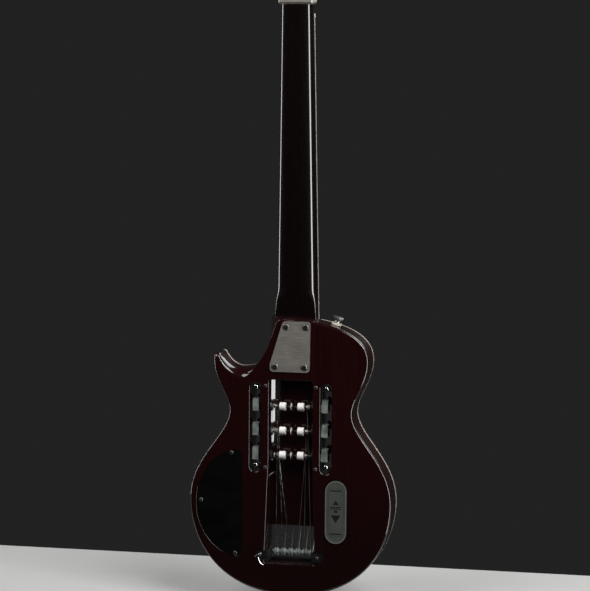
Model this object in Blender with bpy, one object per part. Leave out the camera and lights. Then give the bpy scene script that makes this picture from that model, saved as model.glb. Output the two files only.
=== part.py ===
"""Headless travel guitar with its tuners inside the body.

Sizes are in millimetres and the model is built in metres. +Z runs up the neck, -Y is the back and +X is the
bass side. The origin is the centre of the tail strap button's outer face, at half the body's thickness.
"""

import math

import bmesh
import bpy
import numpy as np
from mathutils import Matrix, Vector

MM = 0.001

# Clearance between pieces that touch
GAP = 0.3

# How far a cutter stands past the face that it cuts
OVERCUT = 3.0

# Strap buttons
BUTTON_HEIGHT = 11.5
BUTTON_FLANGE_R = 7.3
BUTTON_BASE_R = 6.0
BUTTON_WAIST_R = 4.0
BUTTON_SCREW_R = 2.0
BUTTON_SCREW_DEPTH = 22.0
UPPER_BUTTON_AT = 0.79

# Body outline, seen from the back: x from the centre line, z above the tail
BODY_T = 41.3
BODY_LENGTH = 354.5
LOWER_BOUT_HALF = 130.5
LOWER_BOUT_Z = 121.0
WAIST_HALF = 79.4
WAIST_Z = 235.0
UPPER_BOUT_HALF = 99.3
UPPER_BOUT_Z = 301.0
SHOULDER_X = 31.0
SHOULDER_DROP = 3.9
HORN_X = 100.0
HORN_Z = 297.0
HORN_TIP_Z = 306.3
CUTAWAY_X = 68.0
CUTAWAY_Z = 288.7
NECK_SIDE_X = 33.0
EDGE_R = 3.5
SCOOP_DEPTH = 16.0
SCOOP_RUN = 11.7
TONGUE_SCOOP_DEPTH = 20.0
TONGUE_BACK_X = 16.2

# Top binding
BINDING_T = 1.9
BINDING_H = 6.0

# Scale, neck and fingerboard
SCALE_LENGTH = 628.65
SADDLE_Z = 103.0
FRETS = 22
NUT_WIDTH = 42.0
LAST_FRET_WIDTH = 56.0
NECK_ANGLE = 2.4
BOARD_RISE = 5.5
BOARD_T = 5.5
BOARD_END = 5.0
BOARD_RADIUS = 305.0
FRET_W = 2.4
FRET_H = 1.1
NECK_T_NUT = 14.6
NECK_T_TWELFTH = 16.0
HEEL_LENGTH = 68.0
POCKET_DEPTH = 16.0
HEEL_FLARE = 37.0
NUT_T = 5.0
NUT_TOP = 1.8

# Truss rod
ROD_W = 6.0
ROD_H = 8.0
ROD_START = 12.0
ROD_MARGIN = 20.4

# Headpiece
HEAD_RUN = 16.6
HEAD_H = 13.7
HEAD_W = 45.5
HEAD_FRONT = 4.2
HEAD_BACK = 20.4
HEAD_CORNER = 3.0
STRING_HOLE_R = 0.95
STRING_HOLE_DEPTH = 2.0
BALL_R = 1.9
BALL_SEAT = 4.0

# Neck plate and its screws
PLATE_T = 1.5
PLATE_BELOW_END = 3.8
PLATE_H = 64.4
PLATE_TOP_X = (-10.3, 25.1)
PLATE_BOTTOM_X = (-26.8, 24.3)
PLATE_SLANT_END = 10.0
PLATE_CORNER = 4.0
SCREW_ROW_SPACING = 50.8
SCREW_BELOW_END = 10.9
SCREW_TOP_X = (-6.4, 19.0)
SCREW_BOTTOM_X = (-20.5, 17.4)
SCREW_R = 2.1
SCREW_HEAD_R = 4.3
SCREW_HEAD_H = 2.6
SCREW_INTO_NECK = 11.0

# Tuner cavity, rails and hand slots
TUNER_MID_Z = 209.8
TUNER_PITCH = 31.2
CAVITY_HALF = 28.2
CAVITY_TOP = 66.0
CAVITY_BOTTOM = 55.0
CAVITY_DEPTH = 22.0
CAVITY_CORNER = 3.0
RAIL_T = 10.1
SLOT_W = 14.6
SLOT_LENGTH = 114.4
SLOT_CENTRE_Z = 214.5

# String channel and through slot by the rollers
CHANNEL_DEPTH = 26.0
CHANNEL_END_HALF = 33.0
CHANNEL_END_Z = 40.5
CHANNEL_OVERLAP = 8.0
CHANNEL_CORNER = 2.5
TAIL_SLOT_HALF = 31.4
TAIL_SLOT_TOP_Z = 86.0
TAIL_SLOT_CORNER = 0.6

# Tuners
POST_DEPTH = 9.7
POST_R = 3.0
WINDING_R = 2.3
WINDING_END = 16.0
DRUM_R = 5.3
DRUM_INNER = 6.0
TIP_R = 1.2
DISC_R = 4.9
DISC_T = 1.1
DISC_INNER = 0.6
GEAR_R = 5.0
GEAR_T = 4.0
GEAR_TEETH = 14
GEAR_TOOTH = 0.7
WORM_R = 2.1
WORM_OFFSET = 7.4
WORM_FLOOR = 1.0
SHAFT_R = 1.7
PLATE_WALL = 1.6
HOUSING_T = 9.2
HOUSING_DEPTH = 15.3
HOUSING_TOP_DEPTH = 2.2
HOUSING_BELOW = 5.6
HOUSING_ABOVE = 10.2
COLLAR_R = 4.6
COLLAR_NUT_R = 6.2
COLLAR_NUT_T = 2.6
LUG_MARGIN = 1.1
LUG_DROP = 2.0
LUG_T = 2.0
KEY_R = 6.6
KEY_T = 8.2
KEY_LENGTH = 13.5
KEY_NECK = 5.0

# Strings, from the treble side to the bass side
STRING_GAUGES = (0.25, 0.33, 0.43, 0.66, 0.91, 1.17)
STRING_ROWS = (1, 0, -1, -1, 0, 1)
NUT_SPREAD = 35.5
BRIDGE_SPREAD = 50.5
ROLLER_PITCH = 9.3
STRING_AT_NUT = 1.0
STRING_AT_SADDLE = 3.4
PLAIN_TURNS = 3
PLAIN_PITCH = 2.0
PLAIN_SWELL = 0.8
WOUND_TURNS = 2
WOUND_GAP = 0.45
THINNEST_WOUND = 0.5
TURN_POINTS = 12
ROW_ENTRY_X = (17.2, 17.8, 19.0)

# Rollers
ROLLER_Z = 50.0
ROLLER_DEPTH = 31.0
ROLLER_R = 5.0
ROLLER_GROOVE_R = 3.6
ROLLER_GROOVE_W = 3.0
ROLLER_SIDE_GAP = 0.6
AXLE_R = 2.0
AXLE_HEAD_R = 3.2
HANGER_T = 2.0
HANGER_BAR_H = 2.2
WING_W = 12.0
WING_H = 12.0

# Bridge
STUD_SPACING = 74.0
STUD_R = 3.2
STUD_BUSH_R = 5.6
STUD_BUSH_DEPTH = 16.0
WHEEL_R = 9.0
WHEEL_T = 3.0
WHEEL_RISE = 4.0
BRIDGE_LENGTH = 84.0
BRIDGE_W = 12.0
BRIDGE_TOP_DROP = 3.6
SADDLE_W = 6.0
SADDLE_L = 7.0

# Pickup
PICKUP_Z = 137.0
PICKUP_W = 69.5
PICKUP_L = 38.0
PICKUP_UNDER_STRINGS = 2.6
PICKUP_BELOW = 6.0
ROUT_MARGIN = 1.5
ROUT_DEPTH = 12.5
RING_W = 89.0
RING_L = 45.0
RING_BASE = 3.0
RING_H = 9.5
RING_WALL = 2.2

# Controls
COVER_EDGE_IN = 68.0
COVER_W = 59.4
COVER_Z = 116.0
COVER_HALF = 69.0
COVER_CORNER = 9.0
COVER_CORNER_TURN = 75
COVER_T = 2.0
COVER_LIP = 6.0
CONTROL_TOP_T = 7.0
KNOB_EDGE_IN = 42.5
KNOB_Z = (146.0, 94.0)
KNOB_R = 11.5
KNOB_TOP_R = 9.8
KNOB_H = 15.0
KNOB_RISE = 3.4
POT_R = 11.8
POT_H = 10.5
POT_BUSH_R = 4.4
POT_NUT_R = 6.8
POT_NUT_T = 2.2
POT_SHAFT_R = 3.0
BOARD_PLATE_T = 1.6
BOARD_PLATE_W = 20.0
BOARD_PLATE_OVER = 9.0

# Output jack
JACK_R = 8.8
JACK_FLANGE_R = 12.0
JACK_FLANGE_T = 1.8
JACK_LENGTH = 26.0
JACK_BORE_R = 3.3

# Battery box
BATTERY_FROM_STUD = 22.8
BATTERY_Z = 110.0
FLANGE_W = 27.5
FLANGE_L = 80.9
FLANGE_T = 1.2
BOX_WALL = 1.6
LID_W = 18.7
LID_L = 60.2
LID_T = 2.0
CELL_W = 17.2
CELL_L = 48.5
CELL_H = 26.3

BACK = -BODY_T / 2
FRONT = BODY_T / 2
TAIL = BUTTON_HEIGHT
NUT_Z = TAIL + SADDLE_Z + SCALE_LENGTH
TILT = math.radians(NECK_ANGLE)
JOINT_RUN = (NUT_Z - TAIL - BODY_LENGTH) / math.cos(TILT)
NUT_Y = FRONT + BOARD_RISE - JOINT_RUN * math.sin(TILT)
NECK_FRAME = Matrix.Translation((0, NUT_Y, NUT_Z)) @ Matrix.Rotation(TILT, 4, "X")
RAIL_OUTER = CAVITY_HALF + RAIL_T
SLOT_CENTRE_X = RAIL_OUTER + SLOT_W / 2
POST_ROWS = tuple(TAIL + TUNER_MID_Z + TUNER_PITCH * row for row in (-1, 0, 1))
POST_Y = BACK + POST_DEPTH
ROLLER_Y = BACK + ROLLER_DEPTH
ROLLER_AXIS_Z = TAIL + ROLLER_Z
NUMBER_OF_STRINGS = len(STRING_GAUGES)
HEEL_END_Z = BODY_LENGTH - HEEL_LENGTH
PLATE_TOP_Z = BODY_LENGTH - PLATE_BELOW_END
COVER_X = LOWER_BOUT_HALF - COVER_EDGE_IN
KNOB_X = LOWER_BOUT_HALF - KNOB_EDGE_IN
BATTERY_X = STUD_SPACING / 2 + BATTERY_FROM_STUD


def clear_scene():
    for obj in list(bpy.data.objects):
        bpy.data.objects.remove(obj, do_unlink=True)


def material(name, colour, roughness, metallic=0.0):
    mat = bpy.data.materials.new(name)
    mat.use_nodes = True
    shader = mat.node_tree.nodes["Principled BSDF"]
    shader.inputs["Base Color"].default_value = (*colour, 1.0)
    shader.inputs["Roughness"].default_value = roughness
    shader.inputs["Metallic"].default_value = metallic
    mat.diffuse_color = (*colour, 1.0)
    return mat


CHERRY = ("cherry_lacquer", (0.045, 0.004, 0.004), 0.08, 0.0)
NECK_LACQUER = ("neck_lacquer", (0.03, 0.005, 0.004), 0.1, 0.0)
ROSEWOOD = ("rosewood", (0.05, 0.025, 0.015), 0.55, 0.0)
CREAM = ("cream_binding", (0.62, 0.56, 0.48), 0.35, 0.0)
SATIN_METAL = ("satin_metal", (0.45, 0.43, 0.39), 0.35, 1.0)
CHROME = ("chrome", (0.75, 0.75, 0.75), 0.12, 1.0)
GREY_METAL = ("grey_metal", (0.3, 0.3, 0.3), 0.3, 1.0)
STEEL = ("steel", (0.5, 0.5, 0.5), 0.3, 1.0)
BLACK_PLASTIC = ("black_plastic", (0.012, 0.012, 0.012), 0.5, 0.0)
GREY_PLASTIC = ("grey_plastic", (0.12, 0.13, 0.12), 0.45, 0.0)
BONE = ("bone", (0.6, 0.56, 0.46), 0.4, 0.0)


def finish(name, bm, look, origin=(0, 0, 0)):
    """Turns a bmesh in millimetres into a named object in metres whose origin is the given point."""
    bmesh.ops.recalc_face_normals(bm, faces=bm.faces)
    bmesh.ops.translate(bm, verts=bm.verts, vec=-Vector(origin))
    bmesh.ops.scale(bm, verts=bm.verts, vec=(MM, MM, MM))
    mesh = bpy.data.meshes.new(name)
    bm.to_mesh(mesh)
    bm.free()
    mesh.materials.append(material(*look))
    obj = bpy.data.objects.new(name, mesh)
    obj.location = Vector(origin) * MM
    bpy.context.collection.objects.link(obj)
    return obj


def smooth(obj, angle=35.0):
    obj.data.shade_smooth()
    obj.data.set_sharp_from_angle(angle=math.radians(angle))
    return obj


def combine(obj, bm, operation):
    """Cuts the bmesh (millimetres, world) from the object, or joins it on."""
    tool = finish("tool", bm, ("tool", (0.5, 0.5, 0.5), 0.5))
    modifier = obj.modifiers.new("combine", "BOOLEAN")
    modifier.operation = operation
    modifier.solver = "EXACT"
    modifier.object = tool
    graph = bpy.context.evaluated_depsgraph_get()
    result = bpy.data.meshes.new_from_object(obj.evaluated_get(graph))
    obj.modifiers.remove(modifier)
    result.name = obj.name
    look = obj.data.materials[0]
    obj.data = result
    obj.data.materials.clear()
    obj.data.materials.append(look)
    for polygon in obj.data.polygons:
        polygon.material_index = 0
    bpy.data.objects.remove(tool, do_unlink=True)
    return obj


def cut(obj, bm):
    return combine(obj, bm, "DIFFERENCE")


def join(obj, bm):
    return combine(obj, bm, "UNION")


def loft(rings, closed=False):
    """Skins rings of equal length. An open loft gets an end face on its first and last ring."""
    bm = bmesh.new()
    rows = [[bm.verts.new(point) for point in ring] for ring in rings]
    pairs = list(zip(rows, rows[1:]))
    if closed:
        pairs.append((rows[-1], rows[0]))
    for lower, upper in pairs:
        count = len(lower)
        for i in range(count):
            j = (i + 1) % count
            bm.faces.new((lower[i], lower[j], upper[j], upper[i]))
    if not closed:
        bm.faces.new(rows[0])
        bm.faces.new(rows[-1])
    return bm


def prism(outline, y0, y1):
    """Extrudes an outline of (x, z) points along Y."""
    return loft([[(x, y, z) for x, z in outline] for y in (y0, y1)])


def box(x0, x1, y0, y1, z0, z1):
    return prism([(x0, z0), (x1, z0), (x1, z1), (x0, z1)], y0, y1)


def rounded_box(x0, x1, y0, y1, z0, z1, radius, segments=2):
    bm = box(x0, x1, y0, y1, z0, z1)
    bmesh.ops.bevel(bm, geom=bm.edges[:], offset=radius, segments=segments, affect="EDGES", profile=0.5)
    return bm


def axis_frame(centre, axis):
    return Matrix.Translation(centre) @ Vector((0, 0, 1)).rotation_difference(Vector(axis)).to_matrix().to_4x4()


def turned(centre, axis, profile, sides=24):
    """A solid of revolution. The profile lists (distance along the axis, radius) from one end to the other."""
    frame = axis_frame(centre, axis)
    turns = [2 * math.pi * i / sides for i in range(sides)]
    rings = [[frame @ Vector((r * math.cos(a), r * math.sin(a), along)) for a in turns] for along, r in profile]
    return loft(rings)


def rod(centre, axis, radius, start, end, sides=24):
    return turned(centre, axis, [(start, radius), (end, radius)], sides)


def merged(parts):
    """One bmesh that holds several solids which stay apart from each other."""
    whole = bmesh.new()
    for part in parts:
        mesh = bpy.data.meshes.new("part")
        part.to_mesh(mesh)
        part.free()
        whole.from_mesh(mesh)
        bpy.data.meshes.remove(mesh)
    return whole


def arc(cx, cz, radius, start, end, steps):
    angles = [math.radians(start + (end - start) * i / steps) for i in range(steps + 1)]
    return [(cx + radius * math.cos(a), cz + radius * math.sin(a)) for a in angles]


def rounded_outline(corners, radius, steps=3):
    """A polygon of (x, z) corners, each rounded with an arc that touches both of its sides."""
    points = []
    count = len(corners)
    for i in range(count):
        here = Vector(corners[i])
        before = (Vector(corners[i - 1]) - here).normalized()
        after = (Vector(corners[(i + 1) % count]) - here).normalized()
        half = before.angle(after) / 2
        centre = here + (before + after).normalized() * radius / math.sin(half)
        start = here + before * radius / math.tan(half) - centre
        end = here + after * radius / math.tan(half) - centre
        turn = start.angle_signed(end)
        for step in range(steps + 1):
            points.append(tuple(centre + Matrix.Rotation(-turn * step / steps, 2) @ start))
    return points


def stadium(cx, cz, width, length, steps=7):
    """A slot outline with round ends, its length along Z."""
    radius = width / 2
    reach = length / 2 - radius
    return arc(cx, cz + reach, radius, 0, 180, steps) + arc(cx, cz - reach, radius, 180, 360, steps)


def bezier(start, start_handle, end_handle, end, steps):
    """Points of a cubic Bezier without its last one. Handles are offsets from their own ends."""
    p0, p3 = np.array(start, float), np.array(end, float)
    p1, p2 = p0 + np.array(start_handle, float), p3 + np.array(end_handle, float)
    points = []
    for t in np.arange(steps) / steps:
        points.append((1 - t) ** 3 * p0 + 3 * (1 - t) ** 2 * t * p1 + 3 * (1 - t) * t ** 2 * p2 + t ** 3 * p3)
    return points


# Knots of the outline, counterclockwise from the tail as seen from the back. Each has its place, the handle
# before it, the handle after it, and the number of points to the next knot.
SHOULDER_Z = BODY_LENGTH - SHOULDER_DROP
OUTLINE_KNOTS = (
    ((0, 0), (-90, 0), (90, 0), 12),
    ((LOWER_BOUT_HALF, LOWER_BOUT_Z), (0, -60), (0, 53), 9),
    ((WAIST_HALF, WAIST_Z), (0, -31), (0, 20), 6),
    ((UPPER_BOUT_HALF, UPPER_BOUT_Z), (0, -27.5), (0, 30.6), 8),
    ((SHOULDER_X, SHOULDER_Z), (35.4, -6.1), (-9, 1.6), 3),
    ((0, BODY_LENGTH), (10, 0), (-10, 0), 3),
    ((5 - NECK_SIDE_X, BODY_LENGTH), (8, 0), (-2.8, 0), 3),
    ((-NECK_SIDE_X, BODY_LENGTH - 5), (0, 2.8), (0, -7), 3),
    ((-NECK_SIDE_X, BODY_LENGTH - 30), (0, 7), (0, -24), 8),
    ((-CUTAWAY_X, CUTAWAY_Z), (20, 0), (-13, 0), 7),
    ((-92.3, HORN_TIP_Z), (3.4, -6.4), (-1.5, 2.8), 4),
    ((-HORN_X, HORN_TIP_Z - 2.5), (0, 4.2), (0, -2), 2),
    ((-HORN_X, HORN_Z), (0, 2), (0, -22.5), 6),
    ((-WAIST_HALF, WAIST_Z), (0, 16.5), (0, -31), 9),
    ((-LOWER_BOUT_HALF, LOWER_BOUT_Z), (0, 53), (0, -60), 12),
)
TONGUE_KNOT = 6
HORN_OUTER_KNOT = 12
FIRST_BINDING_KNOT = 7
LAST_BINDING_KNOT = 4

# Knots that differ on the flat of the back, where the cutaway is scooped for the hand
BACK_EDGE_KNOTS = {
    6: ((4 - TONGUE_BACK_X, BODY_LENGTH - EDGE_R + 1), (6, 0), (-2, 0)),
    7: ((-TONGUE_BACK_X - 1, BODY_LENGTH - 6), (0.6, 2), (-2, -5)),
    8: ((-27.2, BODY_LENGTH - 36), (0.5, 9), (-0.6, -14)),
    9: ((6 - CUTAWAY_X, CUTAWAY_Z - SCOOP_RUN), (12, 0), (-17, 0)),
    10: ((6.4 - HORN_X, HORN_TIP_Z - 6), (3.6, -8), (-0.6, 1.4)),
    11: ((EDGE_R - HORN_X, HORN_TIP_Z - 6.5), (0.6, 1.6), (-0.2, -1.5)),
}
SCOOP_DEPTHS = {6: TONGUE_SCOOP_DEPTH, 7: TONGUE_SCOOP_DEPTH, 8: SCOOP_DEPTH, 9: SCOOP_DEPTH, 10: 8.0, 11: EDGE_R}


def knot_curve(knots):
    points = []
    for i, (place, _, after, steps) in enumerate(knots):
        following = knots[(i + 1) % len(knots)]
        points.extend(bezier(place, after, following[1], following[0], steps))
    return np.array(points)


def knot_index(number):
    """The index of a knot's first point on the outline."""
    return sum(knot[3] for knot in OUTLINE_KNOTS[:number])


def inset(points, distance):
    """The closed outline moved inwards by a distance."""
    ahead = np.roll(points, -1, axis=0) - points
    behind = points - np.roll(points, 1, axis=0)
    ahead /= np.linalg.norm(ahead, axis=1)[:, None]
    behind /= np.linalg.norm(behind, axis=1)[:, None]
    along = ahead + behind
    along /= np.linalg.norm(along, axis=1)[:, None]
    inward = np.stack([-along[:, 1], along[:, 0]], axis=1)
    stretch = 1 / np.maximum(np.sum(along * ahead, axis=1), 0.5)
    return points + inward * distance * stretch[:, None]


def back_edge(outline):
    """The edge of the flat back: the outline less the edge radius, with the scooped stretch by its own knots."""
    edge = inset(outline, EDGE_R)
    last = len(OUTLINE_KNOTS) - 1
    knots = []
    for i, (place, before, after, steps) in enumerate(OUTLINE_KNOTS):
        if i in BACK_EDGE_KNOTS:
            place, before, after = BACK_EDGE_KNOTS[i]
        elif 0 < i <= last:
            place = tuple(edge[knot_index(i)])
        knots.append((place, before, after, steps))
    scooped = knot_curve(knots)
    first, end = knot_index(TONGUE_KNOT - 1) + 1, knot_index(HORN_OUTER_KNOT)
    edge[first:end] = scooped[first:end]
    return edge


def edge_depths():
    """Depth of the back edge's rounding at each point: the edge radius, or the scoop's depth in the cutaway."""
    depths = []
    for i, knot in enumerate(OUTLINE_KNOTS):
        here = SCOOP_DEPTHS.get(i, EDGE_R)
        there = SCOOP_DEPTHS.get((i + 1) % len(OUTLINE_KNOTS), EDGE_R)
        for step in range(knot[3]):
            blend = step / knot[3]
            depths.append(here + (there - here) * blend)
    return np.array(depths)


def ring(points, depths):
    """A ring of the body: (x, z above the tail) points at depths from the back."""
    depths = np.broadcast_to(depths, len(points))
    return [(x, BACK + d, TAIL + z) for (x, z), d in zip(points, depths)]


def control_outline(grow=0.0):
    """The D-shaped cover's outline: a half ellipse with a straight inner side and rounded corners."""
    start = math.acos(-COVER_CORNER / COVER_W)
    steps = 16
    bow = []
    for i in range(steps + 1):
        angle = start + 2 * (math.pi - start) * i / steps
        bow.append((COVER_W * math.cos(angle), COVER_HALF * math.sin(angle)))
    top = bow[0][1] - COVER_CORNER
    upper = arc(-COVER_CORNER, top, COVER_CORNER, 0, COVER_CORNER_TURN, 4)
    lower = arc(-COVER_CORNER, -top, COVER_CORNER, -COVER_CORNER_TURN, 0, 4)
    points = np.array(upper + bow + lower) + (-COVER_X, TAIL + COVER_Z)
    return inset(points, -grow)


def neck_width(run):
    """Width of neck and fingerboard at a distance below the nut."""
    last = fret_run(FRETS)
    return NUT_WIDTH + (LAST_FRET_WIDTH - NUT_WIDTH) * run / last


def fret_run(number):
    return SCALE_LENGTH * (1 - 2 ** (-number / 12))


def run_at(height):
    """Distance below the nut, along the neck, of a height above the tail."""
    return (NUT_Z - TAIL - height) / math.cos(TILT)


def on_neck(x, rise, run):
    """A point at a rise above the board's surface and a distance below the nut."""
    return NECK_FRAME @ Vector((x, rise, -run))


def neck_prism(outline, rise0, rise1):
    """Extrudes an outline of (x, run) points across the board's surface."""
    return loft([[on_neck(x, rise, run) for x, run in outline] for rise in (rise0, rise1)])


def make_body():
    outline = knot_curve(OUTLINE_KNOTS)
    flat = back_edge(outline)
    depths = edge_depths()
    rings = []
    for turn in (0, 28, 56, 90):
        angle = math.radians(turn)
        rings.append(ring(outline + (flat - outline) * (1 - math.sin(angle)), depths * (1 - math.cos(angle))))
    seat = inset(outline, BINDING_T + GAP)
    rings.append(ring(outline, BODY_T - BINDING_H))
    rings.append(ring(seat, BODY_T - BINDING_H))
    rings.append(ring(seat, BODY_T))
    body = finish("body", loft(rings), CHERRY)
    cut(body, neck_pocket())
    cut(body, hand_slots())
    cut(body, rail_seat())
    cut(body, string_channel())
    cut(body, tail_slot())
    cut(body, hanger_seat())
    cut(body, pickup_rout())
    cut(body, prism(control_outline(GAP), BACK - OVERCUT, BACK + COVER_T + GAP))
    cut(body, prism(control_outline(-COVER_LIP), BACK, FRONT - CONTROL_TOP_T))
    cut(body, battery_recess())
    cut(body, jack_bore())
    cut(body, body_holes())
    return smooth(body)


def make_binding():
    outline = knot_curve(OUTLINE_KNOTS)
    inner = inset(outline, BINDING_T)
    first, last = knot_index(FIRST_BINDING_KNOT), knot_index(LAST_BINDING_KNOT)
    order = list(range(first, len(outline))) + list(range(last + 1))
    low, high = BODY_T - BINDING_H + GAP, BODY_T
    rings = []
    for i in order:
        corners = ((outline[i], low), (outline[i], high), (inner[i], high), (inner[i], low))
        rings.append([(x, BACK + d, TAIL + z) for (x, z), d in corners])
    return smooth(finish("top_binding", loft(rings), CREAM))


def neck_pocket():
    top, end = run_at(BODY_LENGTH + 20), run_at(HEEL_END_Z) + GAP
    outline = [(side * (neck_width(run) / 2 + GAP), NUT_Z - run * math.cos(TILT))
               for side, run in ((1, end), (1, top), (-1, top), (-1, end))]
    return prism(outline, FRONT - POCKET_DEPTH, FRONT + OVERCUT)


def hand_slots():
    centre = TAIL + SLOT_CENTRE_Z
    return merged([prism(stadium(side * SLOT_CENTRE_X, centre, SLOT_W, SLOT_LENGTH), BACK - OVERCUT, FRONT + OVERCUT)
                   for side in (-1, 1)])


def rail_seat():
    """Where the two rails lie, from one hand slot to the other."""
    half = SLOT_LENGTH / 2
    reach = RAIL_OUTER + SLOT_W / 2
    return box(-reach, reach, BACK - OVERCUT, BACK + CAVITY_DEPTH, TAIL + SLOT_CENTRE_Z - half + SLOT_W / 2,
               TAIL + SLOT_CENTRE_Z + half - SLOT_W / 2)


def string_channel():
    """The middle cavity above its floor step, and the flaring channel that runs down to the rollers."""
    top = TAIL + TUNER_MID_Z + CAVITY_TOP
    bottom = TAIL + TUNER_MID_Z - CAVITY_BOTTOM
    end = TAIL + CHANNEL_END_Z
    cavity = rounded_outline([(-CAVITY_HALF, bottom), (CAVITY_HALF, bottom), (CAVITY_HALF, top),
                              (-CAVITY_HALF, top)], CAVITY_CORNER)
    wide = CAVITY_HALF + GAP
    channel = rounded_outline([(-CHANNEL_END_HALF, end), (CHANNEL_END_HALF, end), (wide, bottom + CHANNEL_OVERLAP),
                               (-wide, bottom + CHANNEL_OVERLAP)], CHANNEL_CORNER)
    whole = finish("channel", prism(cavity, BACK - OVERCUT, BACK + CAVITY_DEPTH), CHERRY)
    join(whole, prism(channel, BACK - OVERCUT, BACK + CHANNEL_DEPTH))
    bm = bmesh.new()
    bm.from_mesh(whole.data)
    bmesh.ops.scale(bm, verts=bm.verts, vec=(1 / MM, 1 / MM, 1 / MM))
    bpy.data.objects.remove(whole, do_unlink=True)
    return bm


def tail_slot():
    corners = [(-TAIL_SLOT_HALF, TAIL + CHANNEL_END_Z), (TAIL_SLOT_HALF, TAIL + CHANNEL_END_Z),
               (TAIL_SLOT_HALF, TAIL + TAIL_SLOT_TOP_Z), (-TAIL_SLOT_HALF, TAIL + TAIL_SLOT_TOP_Z)]
    return prism(rounded_outline(corners, TAIL_SLOT_CORNER), BACK, FRONT + OVERCUT)


def hanger_seat():
    """The shallow seats of the hanger's two wings in the back."""
    reach = TAIL_SLOT_HALF + WING_W
    low, high = ROLLER_AXIS_Z - WING_H / 2 - GAP, ROLLER_AXIS_Z + WING_H / 2 + GAP
    return box(-reach - GAP, reach + GAP, BACK - OVERCUT, BACK + HANGER_T + GAP, low, high)


def pickup_rout():
    half_w, half_l = PICKUP_W / 2 + ROUT_MARGIN, PICKUP_L / 2 + ROUT_MARGIN
    centre = TAIL + PICKUP_Z
    return box(-half_w, half_w, FRONT - ROUT_DEPTH, FRONT + OVERCUT, centre - half_l, centre + half_l)


def battery_recess():
    return prism(stadium(BATTERY_X, TAIL + BATTERY_Z, box_width() + 2 * GAP, box_length() + 2 * GAP),
                 BACK - OVERCUT, BACK + box_depth() + GAP)


def box_width():
    return LID_W + 2 * GAP + 2 * BOX_WALL


def box_length():
    return LID_L + 2 * GAP + 2 * BOX_WALL + LID_W / 2


def box_depth():
    return LID_T + CELL_H + 3 * GAP + 2 * BOX_WALL


def jack_bore():
    centre = (-LOWER_BOUT_HALF, 0, TAIL + LOWER_BOUT_Z)
    bore = [(-OVERCUT, JACK_FLANGE_R + GAP), (JACK_FLANGE_T + 1 + GAP, JACK_FLANGE_R + GAP),
            (JACK_FLANGE_T + 1 + GAP, JACK_R + GAP), (JACK_LENGTH + GAP, JACK_R + GAP)]
    return turned(centre, (1, 0, 0), bore, 16)


def screw_places():
    top = TAIL + BODY_LENGTH - SCREW_BELOW_END
    low = top - SCREW_ROW_SPACING
    return [(x, top) for x in SCREW_TOP_X] + [(x, low) for x in SCREW_BOTTOM_X]


def outline_point(knot, fraction):
    """A point on the outline between two knots, with the outward normal there."""
    place, _, after, _ = OUTLINE_KNOTS[knot]
    following = OUTLINE_KNOTS[(knot + 1) % len(OUTLINE_KNOTS)]
    fine = bezier(place, after, following[1], following[0], 200)
    i = round(200 * fraction)
    along = fine[i + 1] - fine[i - 1]
    along /= np.linalg.norm(along)
    return fine[i], np.array([along[1], -along[0]])


def upper_button_frame():
    point, normal = outline_point(3, UPPER_BUTTON_AT)
    return Vector((point[0], 0, TAIL + point[1])), Vector((normal[0], 0, normal[1]))


def body_holes():
    """Every round hole in the body: neck screws, bridge studs, potentiometers and strap button screws."""
    holes = [rod((x, BACK, z), (0, 1, 0), SCREW_R + GAP, -OVERCUT, BODY_T, 8) for x, z in screw_places()]
    for side in (-1, 1):
        holes.append(rod((side * STUD_SPACING / 2, FRONT, TAIL + SADDLE_Z), (0, -1, 0), STUD_BUSH_R + GAP, -OVERCUT,
                         STUD_BUSH_DEPTH + GAP, 14))
    for height in KNOB_Z:
        holes.append(rod((-KNOB_X, FRONT, TAIL + height), (0, -1, 0), POT_BUSH_R + GAP, -OVERCUT, CONTROL_TOP_T + OVERCUT, 12))
    seat, normal = upper_button_frame()
    holes.append(rod(seat, -normal, BUTTON_SCREW_R + GAP, -OVERCUT, BUTTON_SCREW_DEPTH + GAP, 8))
    holes.append(rod((0, 0, TAIL), (0, 0, 1), BUTTON_SCREW_R + GAP, -OVERCUT, BUTTON_SCREW_DEPTH + GAP, 8))
    return merged(holes)


def pocket_thickness(run):
    """Thickness of neck wood under the board where its heel stands on the pocket's floor."""
    board_back = NUT_Y + run * math.sin(TILT) - BOARD_T * math.cos(TILT)
    return (board_back - (FRONT - POCKET_DEPTH + GAP)) / math.cos(TILT)


def neck_thickness(run):
    twelfth = fret_run(12)
    shaft = NECK_T_NUT + (NECK_T_TWELFTH - NECK_T_NUT) * max(0.0, run) / twelfth
    joint = run_at(BODY_LENGTH)
    if run <= joint - HEEL_FLARE:
        return shaft
    blend = min(1.0, (run - joint + HEEL_FLARE) / HEEL_FLARE)
    blend = blend * blend * (3 - 2 * blend)
    return shaft + (pocket_thickness(run) - shaft) * blend


def neck_squareness(run):
    """Exponent of the neck's section: round like a D along the neck, square at the heel."""
    blend = min(1.0, max(0.0, (run - run_at(BODY_LENGTH) + HEEL_FLARE) / HEEL_FLARE))
    return 2.3 + 21.0 * blend ** 2


def neck_section(run, upright=False):
    """The neck below its board. An upright section is level, like the end of the pocket that it meets."""
    half, depth, power = neck_width(run) / 2, neck_thickness(run), neck_squareness(run)
    steps = 12
    section = []
    for i in range(steps + 1):
        angle = math.pi * i / steps
        across, below = math.cos(angle), math.sin(angle)
        x = half * math.copysign(abs(across) ** (2 / power), across)
        rise = -BOARD_T - depth * abs(below) ** (2 / power)
        along = rise * math.tan(TILT) if upright else 0
        section.append(on_neck(x, rise, run + along))
    return section


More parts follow.
